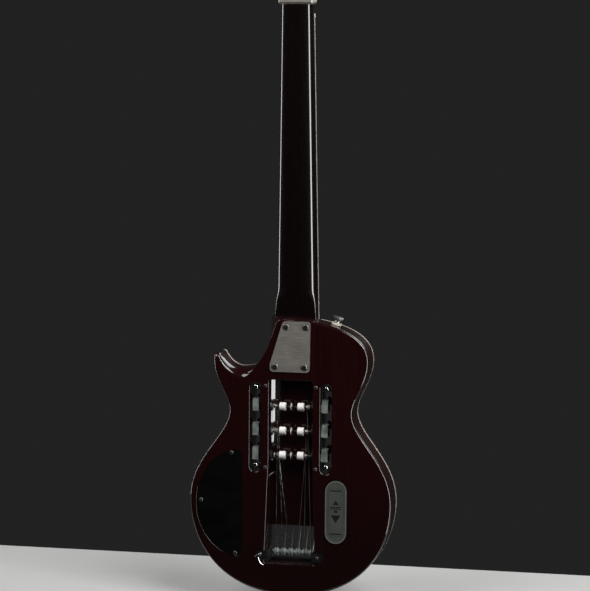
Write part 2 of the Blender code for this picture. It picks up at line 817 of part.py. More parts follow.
def make_neck():
    joint, end = run_at(BODY_LENGTH), run_at(HEEL_END_Z)
    flare = [joint - HEEL_FLARE * (1 - i / 6) for i in range(7)]
    runs = [-HEAD_RUN + GAP] + [flare[0] * i / 4 for i in range(4)] + flare
    heel = [neck_section(run, upright=True) for run in ((joint + end) / 2, end)]
    neck = finish("neck", loft([neck_section(run) for run in runs] + heel), NECK_LACQUER)
    groove = ROD_W / 2 + GAP
    end = rod_end()
    cut(neck, neck_prism([(-groove, ROD_START), (groove, ROD_START), (groove, end), (-groove, end)],
                         -BOARD_T - ROD_H - 2 * GAP, -BOARD_T + OVERCUT))
    cut(neck, merged([rod((x, BACK, z), (0, 1, 0), SCREW_R + GAP, BODY_T - POCKET_DEPTH - OVERCUT,
                          BODY_T - POCKET_DEPTH + SCREW_INTO_NECK + GAP, 8) for x, z in screw_places()]))
    return smooth(neck)


def rod_end():
    return run_at(HEEL_END_Z) - ROD_MARGIN


def make_truss_rod():
    half = ROD_W / 2
    start, end = ROD_START + GAP, rod_end() - GAP
    low, high = -BOARD_T - ROD_H - GAP, -BOARD_T - GAP
    return finish("truss_rod", neck_prism([(-half, start), (half, start), (half, end), (-half, end)], low, high),
                  STEEL)


def board_rise(x):
    """Height of the board's round surface at a distance from its middle line, 0 at the middle."""
    return math.sqrt(BOARD_RADIUS ** 2 - x * x) - BOARD_RADIUS


def make_fingerboard():
    end = fret_run(FRETS) + BOARD_END
    rings = []
    for run in (GAP, end):
        half = neck_width(run) / 2
        across = [half * (1 - i / 2) for i in range(5)]
        top = [on_neck(x, board_rise(x), run) for x in across]
        rings.append(top + [on_neck(-half, -BOARD_T + GAP, run), on_neck(half, -BOARD_T + GAP, run)])
    board = finish("fingerboard", loft(rings), ROSEWOOD)
    join(board, merged([fret(fret_run(number)) for number in range(1, FRETS + 1)]))
    return smooth(board, 25)


def fret(run):
    half = neck_width(run) / 2 - 0.4
    rings = []
    for i in range(3):
        x = half * (1 - i)
        rise = board_rise(x)
        profile = ((-FRET_W / 2, -0.8), (-FRET_W / 4, FRET_H), (FRET_W / 4, FRET_H), (FRET_W / 2, -0.8))
        rings.append([on_neck(x, rise + up, run + along) for along, up in profile])
    return loft(rings)


def nut_x(number):
    return NUT_SPREAD * (number / (NUMBER_OF_STRINGS - 1) - 0.5)


def bridge_x(number):
    return BRIDGE_SPREAD * (number / (NUMBER_OF_STRINGS - 1) - 0.5)


def roller_x(number):
    return ROLLER_PITCH * (number - (NUMBER_OF_STRINGS - 1) / 2)


def make_nut():
    half = NUT_WIDTH / 2
    outline = [(-half, 0), (half, 0), (half, -NUT_T), (-half, -NUT_T)]
    nut = finish("nut", neck_prism(outline, -BOARD_T + GAP, NUT_TOP), BONE)
    slots = []
    for number, gauge in enumerate(STRING_GAUGES):
        x, wide = nut_x(number), gauge / 2 + GAP
        slots.append(neck_prism([(x - wide, 2), (x + wide, 2), (x + wide, -NUT_T - 2), (x - wide, -NUT_T - 2)],
                                STRING_AT_NUT - GAP - 0.2, NUT_TOP + 3))
    return cut(nut, merged(slots))


def make_headpiece():
    half = HEAD_W / 2
    start, end = HEAD_RUN, HEAD_RUN + HEAD_H
    bm = rounded_box(-half, half, -HEAD_BACK, HEAD_FRONT, start, end, HEAD_CORNER, 2)
    bmesh.ops.transform(bm, matrix=NECK_FRAME, verts=bm.verts)
    head = finish("headpiece", bm, SATIN_METAL)
    up = NECK_FRAME.to_3x3() @ Vector((0, 0, 1))
    for number in range(NUMBER_OF_STRINGS):
        seat = on_neck(nut_x(number), -STRING_HOLE_DEPTH, -end)
        bore = [(-HEAD_H - OVERCUT, STRING_HOLE_R), (-BALL_SEAT, STRING_HOLE_R), (-BALL_SEAT, BALL_R + GAP),
                (OVERCUT, BALL_R + GAP)]
        cut(head, turned(seat, up, bore, 8))
    return smooth(head)


def plate_outline():
    top, bottom = TAIL + PLATE_TOP_Z, TAIL + PLATE_TOP_Z - PLATE_H
    corners = [(PLATE_BOTTOM_X[0], bottom), (PLATE_BOTTOM_X[1], bottom), (PLATE_TOP_X[1], top),
               (PLATE_TOP_X[0], top), (PLATE_BOTTOM_X[0], bottom + PLATE_SLANT_END)]
    return rounded_outline(corners, PLATE_CORNER)


def make_neck_plate():
    plate = finish("neck_plate", prism(plate_outline(), BACK - GAP - PLATE_T, BACK - GAP), SATIN_METAL)
    sinks = []
    for x, z in screw_places():
        face = BACK - GAP - PLATE_T
        profile = [(-1, SCREW_HEAD_R + GAP), (0.2, SCREW_HEAD_R + GAP), (PLATE_T + 0.2, SCREW_R + GAP),
                   (PLATE_T + 2, SCREW_R + GAP)]
        sinks.append(turned((x, face, z), (0, 1, 0), profile, 12))
    return smooth(cut(plate, merged(sinks)))


def make_neck_screw(number, x, z):
    """An oval-head screw: its head lies in the plate's countersink and its shank ends in the neck."""
    face = BACK - GAP - PLATE_T
    length = PLATE_T + GAP + BODY_T - POCKET_DEPTH + SCREW_INTO_NECK
    rise = SCREW_HEAD_H - PLATE_T
    profile = [(-rise, SCREW_HEAD_R * 0.55), (0, SCREW_HEAD_R), (PLATE_T - 0.1, SCREW_R), (length - 3, SCREW_R),
               (length, 0.4)]
    screw = finish(f"neck_screw_{number}", turned((x, face, z), (0, 1, 0), profile, 12), STEEL)
    return smooth(screw)


def make_rail(name, side):
    """The strip between a hand slot and the cavity, which carries one row of tuners."""
    half = SLOT_LENGTH / 2 - SLOT_W / 2 - GAP
    centre = TAIL + SLOT_CENTRE_Z
    x0, x1 = sorted((side * CAVITY_HALF, side * RAIL_OUTER))
    rail = finish(name, box(x0, x1, BACK, BACK + CAVITY_DEPTH - GAP, centre - half, centre + half), CHERRY)
    holes = [rod((0, POST_Y, row), (side, 0, 0), COLLAR_R + GAP, CAVITY_HALF - OVERCUT, RAIL_OUTER + OVERCUT, 12)
             for row in POST_ROWS]
    return smooth(cut(rail, merged(holes)))


def key_z(row):
    return row + WORM_OFFSET


def lug_outline(side, end):
    """The round lug that fills the end of a hand slot."""
    centre = TAIL + SLOT_CENTRE_Z + end * (SLOT_LENGTH - SLOT_W) / 2
    radius = SLOT_W / 2 - LUG_MARGIN
    base = centre - end * LUG_DROP
    outline = [(side * SLOT_CENTRE_X + radius, base)]
    outline += arc(side * SLOT_CENTRE_X, centre, radius, 0, end * 180, 7)
    return outline + [(side * SLOT_CENTRE_X - radius, base)]


def make_tuner_plate(name, side):
    """Three gear housings on one plate, with end tabs and a collar for each post through the rail."""
    half = SLOT_LENGTH / 2 - SLOT_W / 2 + 1.0
    centre = TAIL + SLOT_CENTRE_Z
    inner = RAIL_OUTER + GAP
    outer = inner + PLATE_WALL
    top = BACK + HOUSING_TOP_DEPTH

    def span(near, far, y0, y1, z0, z1):
        x0, x1 = sorted((side * near, side * far))
        return box(x0, x1, y0, y1, z0, z1)

    plate = finish(name, span(inner, outer, top, top + HOUSING_DEPTH, centre - half, centre + half), GREY_METAL)
    for end in (-1, 1):
        join(plate, prism(lug_outline(side, end), top, top + LUG_T))
    for row in POST_ROWS:
        z0, z1 = row - HOUSING_BELOW, row + HOUSING_ABOVE
        x0, x1 = sorted((side * (inner + 0.5), side * (inner + HOUSING_T)))
        join(plate, rounded_box(x0, x1, top + 0.01, top + HOUSING_DEPTH + 0.4, z0, z1, 0.9, 1))
        collar = [(CAVITY_HALF - GAP - COLLAR_NUT_T, COLLAR_NUT_R), (CAVITY_HALF - GAP, COLLAR_NUT_R),
                  (CAVITY_HALF - GAP, COLLAR_R), (inner + 0.5, COLLAR_R)]
        join(plate, turned((0, POST_Y, row), (side, 0, 0), collar, 12))
    gear_near = gear_start() - GAP
    for row in POST_ROWS:
        bore = [(CAVITY_HALF - COLLAR_NUT_T - OVERCUT, POST_R + GAP), (gear_near, POST_R + GAP), (gear_near, GEAR_R + GAP),
                (inner + HOUSING_T + OVERCUT, GEAR_R + GAP)]
        cut(plate, turned((0, POST_Y, row), (side, 0, 0), bore, 12))
        cut(plate, rod((side * SLOT_CENTRE_X, top, key_z(row)), (0, 1, 0), WORM_R + GAP, WORM_FLOOR,
                       HOUSING_DEPTH + OVERCUT, 10))
    return smooth(plate)


def gear_start():
    return SLOT_CENTRE_X - GEAR_T / 2


def make_post(number, side, row):
    """Gear, shaft, winding length, drum and end disc, in one piece on the post's axis."""
    axis = (side, 0, 0)
    profile = [(DISC_INNER, DISC_R), (DISC_INNER + DISC_T, DISC_R), (DISC_INNER + DISC_T, TIP_R),
               (DRUM_INNER, TIP_R), (DRUM_INNER, DRUM_R), (WINDING_END - GAP, DRUM_R), (WINDING_END - GAP, WINDING_R),
               (CAVITY_HALF - GAP - COLLAR_NUT_T - 0.6, WINDING_R),
               (CAVITY_HALF - GAP - COLLAR_NUT_T - 0.6, POST_R), (gear_start() + 0.5, POST_R)]
    post = finish(f"tuner_post_{number}", turned((0, POST_Y, row), axis, profile, 12), CHROME)
    frame = axis_frame((0, POST_Y, row), axis)
    rings = []
    for along in (gear_start(), gear_start() + GEAR_T):
        ring_points = []
        for i in range(GEAR_TEETH * 2):
            angle = math.pi * i / GEAR_TEETH
            radius = GEAR_R - GEAR_TOOTH * (i % 2)
            ring_points.append(frame @ Vector((radius * math.cos(angle), radius * math.sin(angle), along)))
        rings.append(ring_points)
    join(post, loft(rings))
    smooth(post)
    return place_origin(post, (side * (gear_start() + GEAR_T / 2), POST_Y, row))


def place_origin(obj, point):
    """Moves the object's origin to a point of its joint's axis without moving its shape."""
    shift = Vector(point) * MM - obj.location
    obj.data.transform(Matrix.Translation(-shift))
    obj.location = Vector(point) * MM
    return obj


def make_key(number, side, row):
    """Worm, shaft and the flattened key that the fingers turn, on the worm's axis."""
    centre = (side * SLOT_CENTRE_X, BACK, key_z(row))
    start = HOUSING_TOP_DEPTH + WORM_FLOOR + GAP
    collar = HOUSING_TOP_DEPTH + HOUSING_DEPTH + 0.4 + GAP
    key = collar + KEY_NECK
    shaft = [(start, WORM_R - 0.5), (start + 0.5, WORM_R), (collar - 2.5, WORM_R), (collar - 2.0, SHAFT_R),
             (key + 1.0, SHAFT_R)]
    obj = finish(f"tuner_key_{number}", turned(centre, (0, 1, 0), shaft, 10), GREY_METAL, centre)
    rings = []
    for i in range(6):
        angle = math.pi * i / 5
        along = key + KEY_LENGTH * (1 - math.cos(angle)) / 2
        swell = max(math.sin(angle), 0.22) ** 0.45
        rings.append([(centre[0] + KEY_T / 2 * swell * math.cos(a), BACK + along,
                       centre[2] + KEY_R * swell * math.sin(a)) for a in np.linspace(0, 2 * math.pi, 11)[:-1]])
    join(obj, loft(rings))
    return smooth(obj)


def tangent_angles(number, row):
    """Angles at which a string meets its roller and its post, and its radius on each."""
    gauge = STRING_GAUGES[number]
    on_roller = ROLLER_GROOVE_R + GAP + gauge / 2
    on_post = WINDING_R + GAP + gauge / 2
    across, up = ROLLER_Y - POST_Y, row - ROLLER_AXIS_Z
    lean = math.atan2(across, up) - math.asin((on_roller + on_post) / math.hypot(across, up))
    return lean, on_roller, on_post


def saddle_point(number):
    gauge = STRING_GAUGES[number]
    return on_neck(bridge_x(number), STRING_AT_SADDLE + gauge / 2, run_at(SADDLE_Z))


def string_route(number, side, row):
    """Points of a whole string: ball end, nut, saddle, round the roller, up to the post and round it."""
    gauge = STRING_GAUGES[number]
    lean, on_roller, on_post = tangent_angles(number, row)
    points = []
    for rise, run in ((-STRING_HOLE_DEPTH, -HEAD_RUN - HEAD_H + BALL_SEAT - GAP), (-STRING_HOLE_DEPTH, -HEAD_RUN),
                      (STRING_AT_NUT + gauge / 2, -NUT_T), (STRING_AT_NUT + gauge / 2, 0)):
        points.append(on_neck(nut_x(number), rise, run))
    saddle = saddle_point(number)
    points.append(saddle)
    offset = Vector((0, saddle.y - ROLLER_Y, saddle.z - ROLLER_AXIS_Z))
    first = math.atan2(offset.z, offset.y) - math.acos(on_roller / offset.length)
    last = -math.pi + lean
    steps = 7
    for i in range(steps + 1):
        angle = first + (last - first) * i / steps
        points.append(Vector((roller_x(number), ROLLER_Y + on_roller * math.cos(angle),
                              ROLLER_AXIS_Z + on_roller * math.sin(angle))))
    return points + winding(number, side, row, lean, on_post)


def winding(number, side, row, lean, radius):
    """Turns round the post. A plain string's swell outwards, and the end stays straight for its thickness."""
    gauge = STRING_GAUGES[number]
    wound = gauge > THINNEST_WOUND
    turns = WOUND_TURNS if wound else PLAIN_TURNS
    pitch = gauge + WOUND_GAP if wound else PLAIN_PITCH
    swell = 0 if wound else PLAIN_SWELL
    entry = ROW_ENTRY_X[STRING_ROWS[number] + 1]
    points = []
    for i in range(turns * TURN_POINTS + 1):
        turn = i / TURN_POINTS
        angle = -lean + 2 * math.pi * turn
        reach = radius + swell * turn
        points.append(Vector((side * (entry + pitch * turn), POST_Y + reach * math.cos(angle),
                              row + reach * math.sin(angle))))
    along = (points[-1] - points[-2]).normalized()
    return points + [points[-1] + along * gauge]


def least_gap(points, thickness):
    """The least gap between a winding's turns, from points at least half a turn apart."""
    places = np.array(points)
    apart = TURN_POINTS // 2
    nearest = min(np.min(np.linalg.norm(places[i + apart:] - places[i], axis=1))
                  for i in range(len(places) - apart))
    return nearest - thickness


def make_string(number, side, row):
    """A curve with the string's own thickness, swelling to its ball end in the headpiece."""
    gauge = STRING_GAUGES[number]
    route = string_route(number, side, row)
    print(f"string {number + 1}: least gap to itself {least_gap(route, gauge):.2f} mm")
    up = NECK_FRAME.to_3x3() @ Vector((0, 0, 1))
    ball = [route[0] + up * 3.2, route[0] + up * 0.4]
    sizes = [BALL_R, BALL_R] + [gauge / 2] * len(route)
    curve = bpy.data.curves.new(f"string_{number + 1}", "CURVE")
    curve.dimensions = "3D"
    curve.bevel_depth = MM
    curve.bevel_resolution = 1
    curve.use_fill_caps = True
    spline = curve.splines.new("POLY")
    spline.points.add(len(sizes) - 1)
    for point, place, size in zip(spline.points, ball + route, sizes):
        point.co = (*(place * MM), 1.0)
        point.radius = size
    curve.materials.append(material(*STEEL))
    obj = bpy.data.objects.new(f"string_{number + 1}", curve)
    bpy.context.collection.objects.link(obj)
    return obj


def make_roller(number):
    half = (ROLLER_PITCH - ROLLER_SIDE_GAP) / 2
    groove = ROLLER_GROOVE_W / 2
    centre = (roller_x(number), ROLLER_Y, ROLLER_AXIS_Z)
    profile = [(-half, ROLLER_R), (-groove - 0.6, ROLLER_R), (-groove + 0.6, ROLLER_GROOVE_R),
               (groove - 0.6, ROLLER_GROOVE_R), (groove + 0.6, ROLLER_R), (half, ROLLER_R)]
    sides = 14
    frame = axis_frame(centre, (1, 0, 0))
    bore = [(half, AXLE_R + GAP), (-half, AXLE_R + GAP)]
    turns = [2 * math.pi * i / sides for i in range(sides)]
    rings = [[frame @ Vector((r * math.cos(a), r * math.sin(a), along)) for a in turns]
             for along, r in profile + bore]
    return smooth(finish(f"string_roller_{number + 1}", loft(rings, closed=True), CHROME, centre))


def make_axle():
    reach = TAIL_SLOT_HALF - GAP - HANGER_T
    end = TAIL_SLOT_HALF - GAP + 1.2
    centre = (0, ROLLER_Y, ROLLER_AXIS_Z)
    return smooth(finish("roller_axle", rod(centre, (1, 0, 0), AXLE_R, -reach - HANGER_T, reach + HANGER_T, 16),
                         STEEL))


def make_hanger():
    """Two ears with wings in the back, joined by a bar under the rollers."""
    outer = TAIL_SLOT_HALF - GAP
    inner = outer - HANGER_T
    low = TAIL + CHANNEL_END_Z + GAP
    wing0, wing1 = ROLLER_AXIS_Z - WING_H / 2, ROLLER_AXIS_Z + WING_H / 2
    bottom = ROLLER_Y + ROLLER_R
    hanger = finish("roller_hanger", box(-outer, outer, bottom - 2 * ROLLER_R, bottom, low, low + HANGER_BAR_H),
                    BLACK_PLASTIC)
    for side in (-1, 1):
        x0, x1 = sorted((side * inner, side * outer))
        join(hanger, box(x0, x1, BACK, bottom, low, wing1))
        x0, x1 = sorted((side * inner, side * (TAIL_SLOT_HALF + WING_W)))
        join(hanger, box(x0, x1, BACK, BACK + HANGER_T, wing0, wing1))
    cut(hanger, rod((0, ROLLER_Y, ROLLER_AXIS_Z), (1, 0, 0), AXLE_R + GAP / 3, -outer - OVERCUT, outer + OVERCUT, 16))
    return smooth(hanger)


def bridge_levels():
    """Bottom and top of the bridge's bar, set by the lowest string at the saddles."""
    string_y = saddle_point(0).y - STRING_GAUGES[0] / 2
    return FRONT + GAP + WHEEL_RISE + WHEEL_T + GAP, string_y - BRIDGE_TOP_DROP


def make_bridge():
    bottom, top = bridge_levels()
    centre = TAIL + SADDLE_Z
    half, width = BRIDGE_LENGTH / 2, BRIDGE_W / 2
    outline = rounded_outline([(-half, centre - width), (half, centre - width), (half, centre + width),
                               (-half, centre + width)], width - 0.2, 5)
    bridge = finish("bridge", prism(outline, bottom, top), CHROME)
    for number in range(NUMBER_OF_STRINGS):
        x, peak = bridge_x(number), saddle_point(number).y - STRING_GAUGES[number] / 2 - GAP
        foot, ridge = SADDLE_L / 2, 0.5
        outline = [(-foot, top - 0.5), (foot, top - 0.5), (foot, top + 0.4), (ridge, peak), (-ridge, peak),
                   (-foot, top + 0.4)]
        join(bridge, loft([[(x + side * SADDLE_W / 2, y, centre + along) for along, y in outline]
                           for side in (-1, 1)]))
    for side in (-1, 1):
        cut(bridge, rod((side * STUD_SPACING / 2, bottom, centre), (0, 1, 0), STUD_R + GAP, -OVERCUT,
                       top - bottom + OVERCUT, 16))
    return smooth(bridge)


def make_stud(name, side):
    """Bush in the body, thumbwheel and post in one turned piece."""
    bottom, top = bridge_levels()
    wheel = GAP + WHEEL_RISE
    profile = [(-STUD_BUSH_DEPTH, STUD_BUSH_R), (GAP, STUD_BUSH_R), (GAP + 1.2, STUD_R),
               (wheel, STUD_R), (wheel, WHEEL_R), (wheel + WHEEL_T, WHEEL_R), (wheel + WHEEL_T, STUD_R),
               (top - FRONT - 0.3, STUD_R)]
    centre = (side * STUD_SPACING / 2, FRONT, TAIL + SADDLE_Z)
    return smooth(finish(name, turned(centre, (0, 1, 0), profile, 14), CHROME))


def pickup_top():
    return on_neck(0, STRING_AT_NUT, run_at(PICKUP_Z)).y + 1.6 - PICKUP_UNDER_STRINGS


def make_pickup():
    centre = TAIL + PICKUP_Z
    bm = box(-PICKUP_W / 2, PICKUP_W / 2, FRONT - PICKUP_BELOW, pickup_top(), centre - PICKUP_L / 2,
             centre + PICKUP_L / 2)
    edges = [edge for edge in bm.edges if max(v.co.y for v in edge.verts) > pickup_top() - 0.1]
    bmesh.ops.bevel(bm, geom=edges, offset=1.6, segments=2, affect="EDGES", profile=0.5)
    return smooth(finish("humbucker", bm, CHROME))


def make_pickup_ring():
    centre = TAIL + PICKUP_Z
    base = rounded_outline([(-RING_W / 2, centre - RING_L / 2), (RING_W / 2, centre - RING_L / 2),
                            (RING_W / 2, centre + RING_L / 2), (-RING_W / 2, centre + RING_L / 2)], 3.0, 3)
    half_w, half_l = PICKUP_W / 2 + GAP, PICKUP_L / 2 + GAP
    low = FRONT + GAP
    ring_obj = finish("pickup_ring", prism(base, low, low + RING_BASE), BLACK_PLASTIC)
    wall_w, wall_l = half_w + RING_WALL, half_l + RING_WALL
    join(ring_obj, box(-wall_w, wall_w, low + 1, low + RING_H, centre - wall_l, centre + wall_l))
    return smooth(cut(ring_obj, box(-half_w, half_w, low - OVERCUT, low + RING_H + OVERCUT, centre - half_l, centre + half_l)))


def make_pot(name, height):
    """Potentiometer: its can in the cavity, its bush through the top and the nut on the front."""
    centre = (-KNOB_X, FRONT, TAIL + height)
    wall = -CONTROL_TOP_T - GAP
    profile = [(wall - POT_H, POT_R), (wall, POT_R), (wall, POT_BUSH_R), (GAP, POT_BUSH_R), (GAP, POT_NUT_R),
               (GAP + POT_NUT_T, POT_NUT_R), (GAP + POT_NUT_T, POT_SHAFT_R + GAP),
               (wall - 1, POT_SHAFT_R + GAP)]
    return smooth(finish(name, turned(centre, (0, 1, 0), profile, 14), STEEL))


def make_knob(name, height):
    """A knob with its shaft, which turns in the potentiometer's bush."""
    centre = (-KNOB_X, FRONT, TAIL + height)
    shaft = -CONTROL_TOP_T
    profile = [(shaft, POT_SHAFT_R), (KNOB_RISE, POT_SHAFT_R), (KNOB_RISE, KNOB_R), (KNOB_RISE + 3, KNOB_R),
               (KNOB_RISE + KNOB_H - 1, KNOB_TOP_R), (KNOB_RISE + KNOB_H, KNOB_TOP_R - 1)]
    return smooth(finish(name, turned(centre, (0, 1, 0), profile, 20), BLACK_PLASTIC, centre))


def make_circuit_board():
    back = FRONT - CONTROL_TOP_T - GAP - POT_H - GAP
    low, high = TAIL + min(KNOB_Z) - BOARD_PLATE_OVER, TAIL + max(KNOB_Z) + BOARD_PLATE_OVER
    half = BOARD_PLATE_W / 2
    bm = box(-KNOB_X - half + 3, -KNOB_X + half + 3, back - BOARD_PLATE_T, back, low, high)
    return finish("circuit_board", bm, ("board_green", (0.02, 0.09, 0.04), 0.5, 0.0))


def make_jack():
    centre = (-LOWER_BOUT_HALF, 0, TAIL + LOWER_BOUT_Z)
    profile = [(1.0, JACK_BORE_R), (1.0, JACK_FLANGE_R - 0.6), (1.6, JACK_FLANGE_R),
               (1.0 + JACK_FLANGE_T, JACK_FLANGE_R), (1.0 + JACK_FLANGE_T, JACK_R), (JACK_LENGTH, JACK_R),
               (JACK_LENGTH, JACK_BORE_R)]
    frame = axis_frame(centre, (1, 0, 0))
    sides = 16
    rings = [[frame @ Vector((r * math.cos(2 * math.pi * i / sides), r * math.sin(2 * math.pi * i / sides), along))
              for i in range(sides)] for along, r in profile]
    return smooth(finish("output_jack", loft(rings, closed=True), GREY_METAL))


def make_control_cover():
    return finish("control_cover", prism(control_outline(), BACK, BACK + COVER_T), BLACK_PLASTIC)


def make_battery_frame():
    """A flange on the back and the box below it, which the tray fills."""
    centre = TAIL + BATTERY_Z
    frame = finish("battery_frame", prism(stadium(BATTERY_X, centre, FLANGE_W, FLANGE_L), BACK - GAP - FLANGE_T,
                                          BACK - GAP), GREY_PLASTIC)
    join(frame, prism(stadium(BATTERY_X, centre, box_width(), box_length()), BACK - GAP - 0.5, BACK + box_depth()))
    half_w, half_l = LID_W / 2 + GAP, LID_L / 2 + GAP
    floor = BACK + box_depth() - BOX_WALL
    corners = [(BATTERY_X - half_w, centre - half_l), (BATTERY_X + half_w, centre - half_l),
               (BATTERY_X + half_w, centre + half_l), (BATTERY_X - half_w, centre + half_l)]
    return smooth(cut(frame, prism(rounded_outline(corners, 2.5, 3), BACK - OVERCUT, floor)))


def tray_top():
    return BACK - GAP - FLANGE_T


def make_battery_tray():
    """The lid with the cradle that carries the battery out of its box."""
    centre = TAIL + BATTERY_Z
    half_w, half_l = LID_W / 2, LID_L / 2
    corners = [(BATTERY_X - half_w, centre - half_l), (BATTERY_X + half_w, centre - half_l),
               (BATTERY_X + half_w, centre + half_l), (BATTERY_X - half_w, centre + half_l)]
    top = tray_top()
    under = top + LID_T
    tray = finish("battery_tray", prism(rounded_outline(corners, 2.2, 3), top, under), GREY_PLASTIC)
    wall_w = half_w - 1.0
    bottom = under + GAP + CELL_H + GAP
    cell_half = CELL_L / 2 + GAP
    join(tray, box(BATTERY_X - wall_w, BATTERY_X + wall_w, under - 0.5, bottom + BOX_WALL, centre - cell_half - BOX_WALL,
                   centre + cell_half + BOX_WALL))
    return cut(tray, box(BATTERY_X - half_w - 5, BATTERY_X + half_w + 5, under, bottom, centre - cell_half,
                         centre + cell_half))


def make_battery():
    centre = TAIL + BATTERY_Z
    top = tray_top() + LID_T + GAP
    half = CELL_W / 2
    bm = box(BATTERY_X - half, BATTERY_X + half, top, top + CELL_H, centre - CELL_L / 2, centre + CELL_L / 2)
    return finish("battery", bm, ("battery_case", (0.03, 0.03, 0.05), 0.4, 0.0))


def make_strap_button(name, seat, normal):
    height = BUTTON_HEIGHT
    profile = [(-BUTTON_SCREW_DEPTH, 0.5), (-BUTTON_SCREW_DEPTH + 4, BUTTON_SCREW_R), (GAP, BUTTON_SCREW_R),
               (GAP, BUTTON_BASE_R), (2.0, BUTTON_BASE_R), (4.0, BUTTON_WAIST_R), (height - 4.2, BUTTON_WAIST_R),
               (height - 2.6, BUTTON_FLANGE_R), (height - 0.6, BUTTON_FLANGE_R), (height, BUTTON_FLANGE_R - 0.8)]
    return smooth(finish(name, turned(seat, normal, profile, 14), CHROME))


def build():
    clear_scene()
    make_body()
    make_binding()
    make_neck()
    make_truss_rod()
    make_fingerboard()
    make_nut()
    make_headpiece()
    make_neck_plate()
    for number, (x, z) in enumerate(screw_places(), 1):
        make_neck_screw(number, x, z)
    for name, side in (("left", -1), ("right", 1)):
        make_rail(f"tuner_rail_{name}", side)
        make_tuner_plate(f"tuner_plate_{name}", side)
        make_stud(f"bridge_stud_{name}", side)
    for number, row_step in enumerate(STRING_ROWS):
        side = -1 if number < NUMBER_OF_STRINGS / 2 else 1
        row = POST_ROWS[row_step + 1]
        make_post(number + 1, side, row)
        make_key(number + 1, side, row)
        make_string(number, side, row)
        make_roller(number)
    make_axle()
    make_hanger()
    make_bridge()
    make_pickup_ring()
    make_pickup()
    for name, height in zip(("volume", "tone"), KNOB_Z):
        make_pot(f"{name}_pot", height)
        make_knob(f"{name}_knob", height)
    make_circuit_board()
    make_jack()
    make_control_cover()
    make_battery_frame()
    make_battery_tray()
    make_battery()
    seat, normal = upper_button_frame()
    make_strap_button("strap_button_upper", seat, normal)
    make_strap_button("strap_button_tail", (0, 0, TAIL), (0, 0, -1))


build()
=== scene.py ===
"""Looks of a headless travel guitar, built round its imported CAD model.

Sizes are in millimetres until a mesh is made. +Z runs up the neck, -Y is the back and +X is the bass side.
"""

import functools
import math

import bmesh
import bpy
from bpy.props import FloatProperty, FloatVectorProperty, IntProperty, PointerProperty
from mathutils import Matrix, Vector
from mathutils.geometry import interpolate_bezier


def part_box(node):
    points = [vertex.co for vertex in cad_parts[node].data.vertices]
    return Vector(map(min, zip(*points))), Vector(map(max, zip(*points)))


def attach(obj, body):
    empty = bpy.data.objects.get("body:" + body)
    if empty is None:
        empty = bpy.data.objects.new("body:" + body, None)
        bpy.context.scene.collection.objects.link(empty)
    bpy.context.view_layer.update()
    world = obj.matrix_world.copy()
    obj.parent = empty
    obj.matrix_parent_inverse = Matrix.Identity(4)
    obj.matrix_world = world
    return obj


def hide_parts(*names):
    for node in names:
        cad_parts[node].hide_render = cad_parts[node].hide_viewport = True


bl_info = {
    "name": "Travel Guitar Looks",
    "version": (1, 0, 0),
    "blender": (4, 5, 0),
    "location": "View3D > Sidebar > Guitar",
    "description": "Lacquer, fretwork, strings and small fittings for a headless travel guitar",
    "category": "Object",
}

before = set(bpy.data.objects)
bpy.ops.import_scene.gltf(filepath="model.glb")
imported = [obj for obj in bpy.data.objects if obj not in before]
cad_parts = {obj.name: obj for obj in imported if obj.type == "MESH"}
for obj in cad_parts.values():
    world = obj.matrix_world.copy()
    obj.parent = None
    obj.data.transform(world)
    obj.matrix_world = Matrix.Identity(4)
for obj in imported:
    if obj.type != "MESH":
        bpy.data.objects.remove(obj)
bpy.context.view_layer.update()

MM = 0.001
TURN = 2 * math.pi

# The body: TAIL is the height of its end over the floor, and outline heights are measured from there
TAIL = 11.5
BODY_T = 41.3
BODY_LENGTH = 354.5
BACK = -BODY_T / 2
FRONT = BODY_T / 2
GAP = 0.3
OVERCUT = 3.0
LOWER_BOUT_HALF = 130.5
LOWER_BOUT_Z = 121.0
WAIST_HALF = 79.4
WAIST_Z = 235.0
UPPER_BOUT_HALF = 99.3
UPPER_BOUT_Z = 301.0
NECK_SIDE_X = 33.0
CUTAWAY_X = 68.0
CUTAWAY_Z = 288.7
HORN_X = 100.0
HORN_TIP_Z = 306.3
EDGE_R = 3.5
EDGE_STEPS = 10
BINDING_T = 1.9
BINDING_H = 6.0
LIP_R = 1.3

# Neck and fingerboard
SCALE_LENGTH = 628.65
SADDLE_Z = 103.0
NUT_WIDTH = 42.0
LAST_FRET_WIDTH = 56.0
FRETS = 22
BOARD_RISE = 5.5
BOARD_T = 5.5
BOARD_END = 5.0
BOARD_RADIUS = 305.0
NECK_T_NUT = 14.6
NECK_T_TWELFTH = 16.0
HEEL_LENGTH = 68.0
POCKET_DEPTH = 16.0
HEEL_FLARE = 37.0
NUT_T = 5.0
HEAD_RUN = 16.6
HEAD_H = 13.7
TILT = math.radians(2.4)
NUT_Z = TAIL + SADDLE_Z + SCALE_LENGTH
JOINT_RUN = (NUT_Z - TAIL - BODY_LENGTH) / math.cos(TILT)
NUT_Y = FRONT + BOARD_RISE - JOINT_RUN * math.sin(TILT)
NECK_FRAME = Matrix.Translation((0, NUT_Y, NUT_Z)) @ Matrix.Rotation(TILT, 4, "X")
MARKED_FRETS = (1, 3, 5, 7, 9, 12, 15, 17, 19, 21)

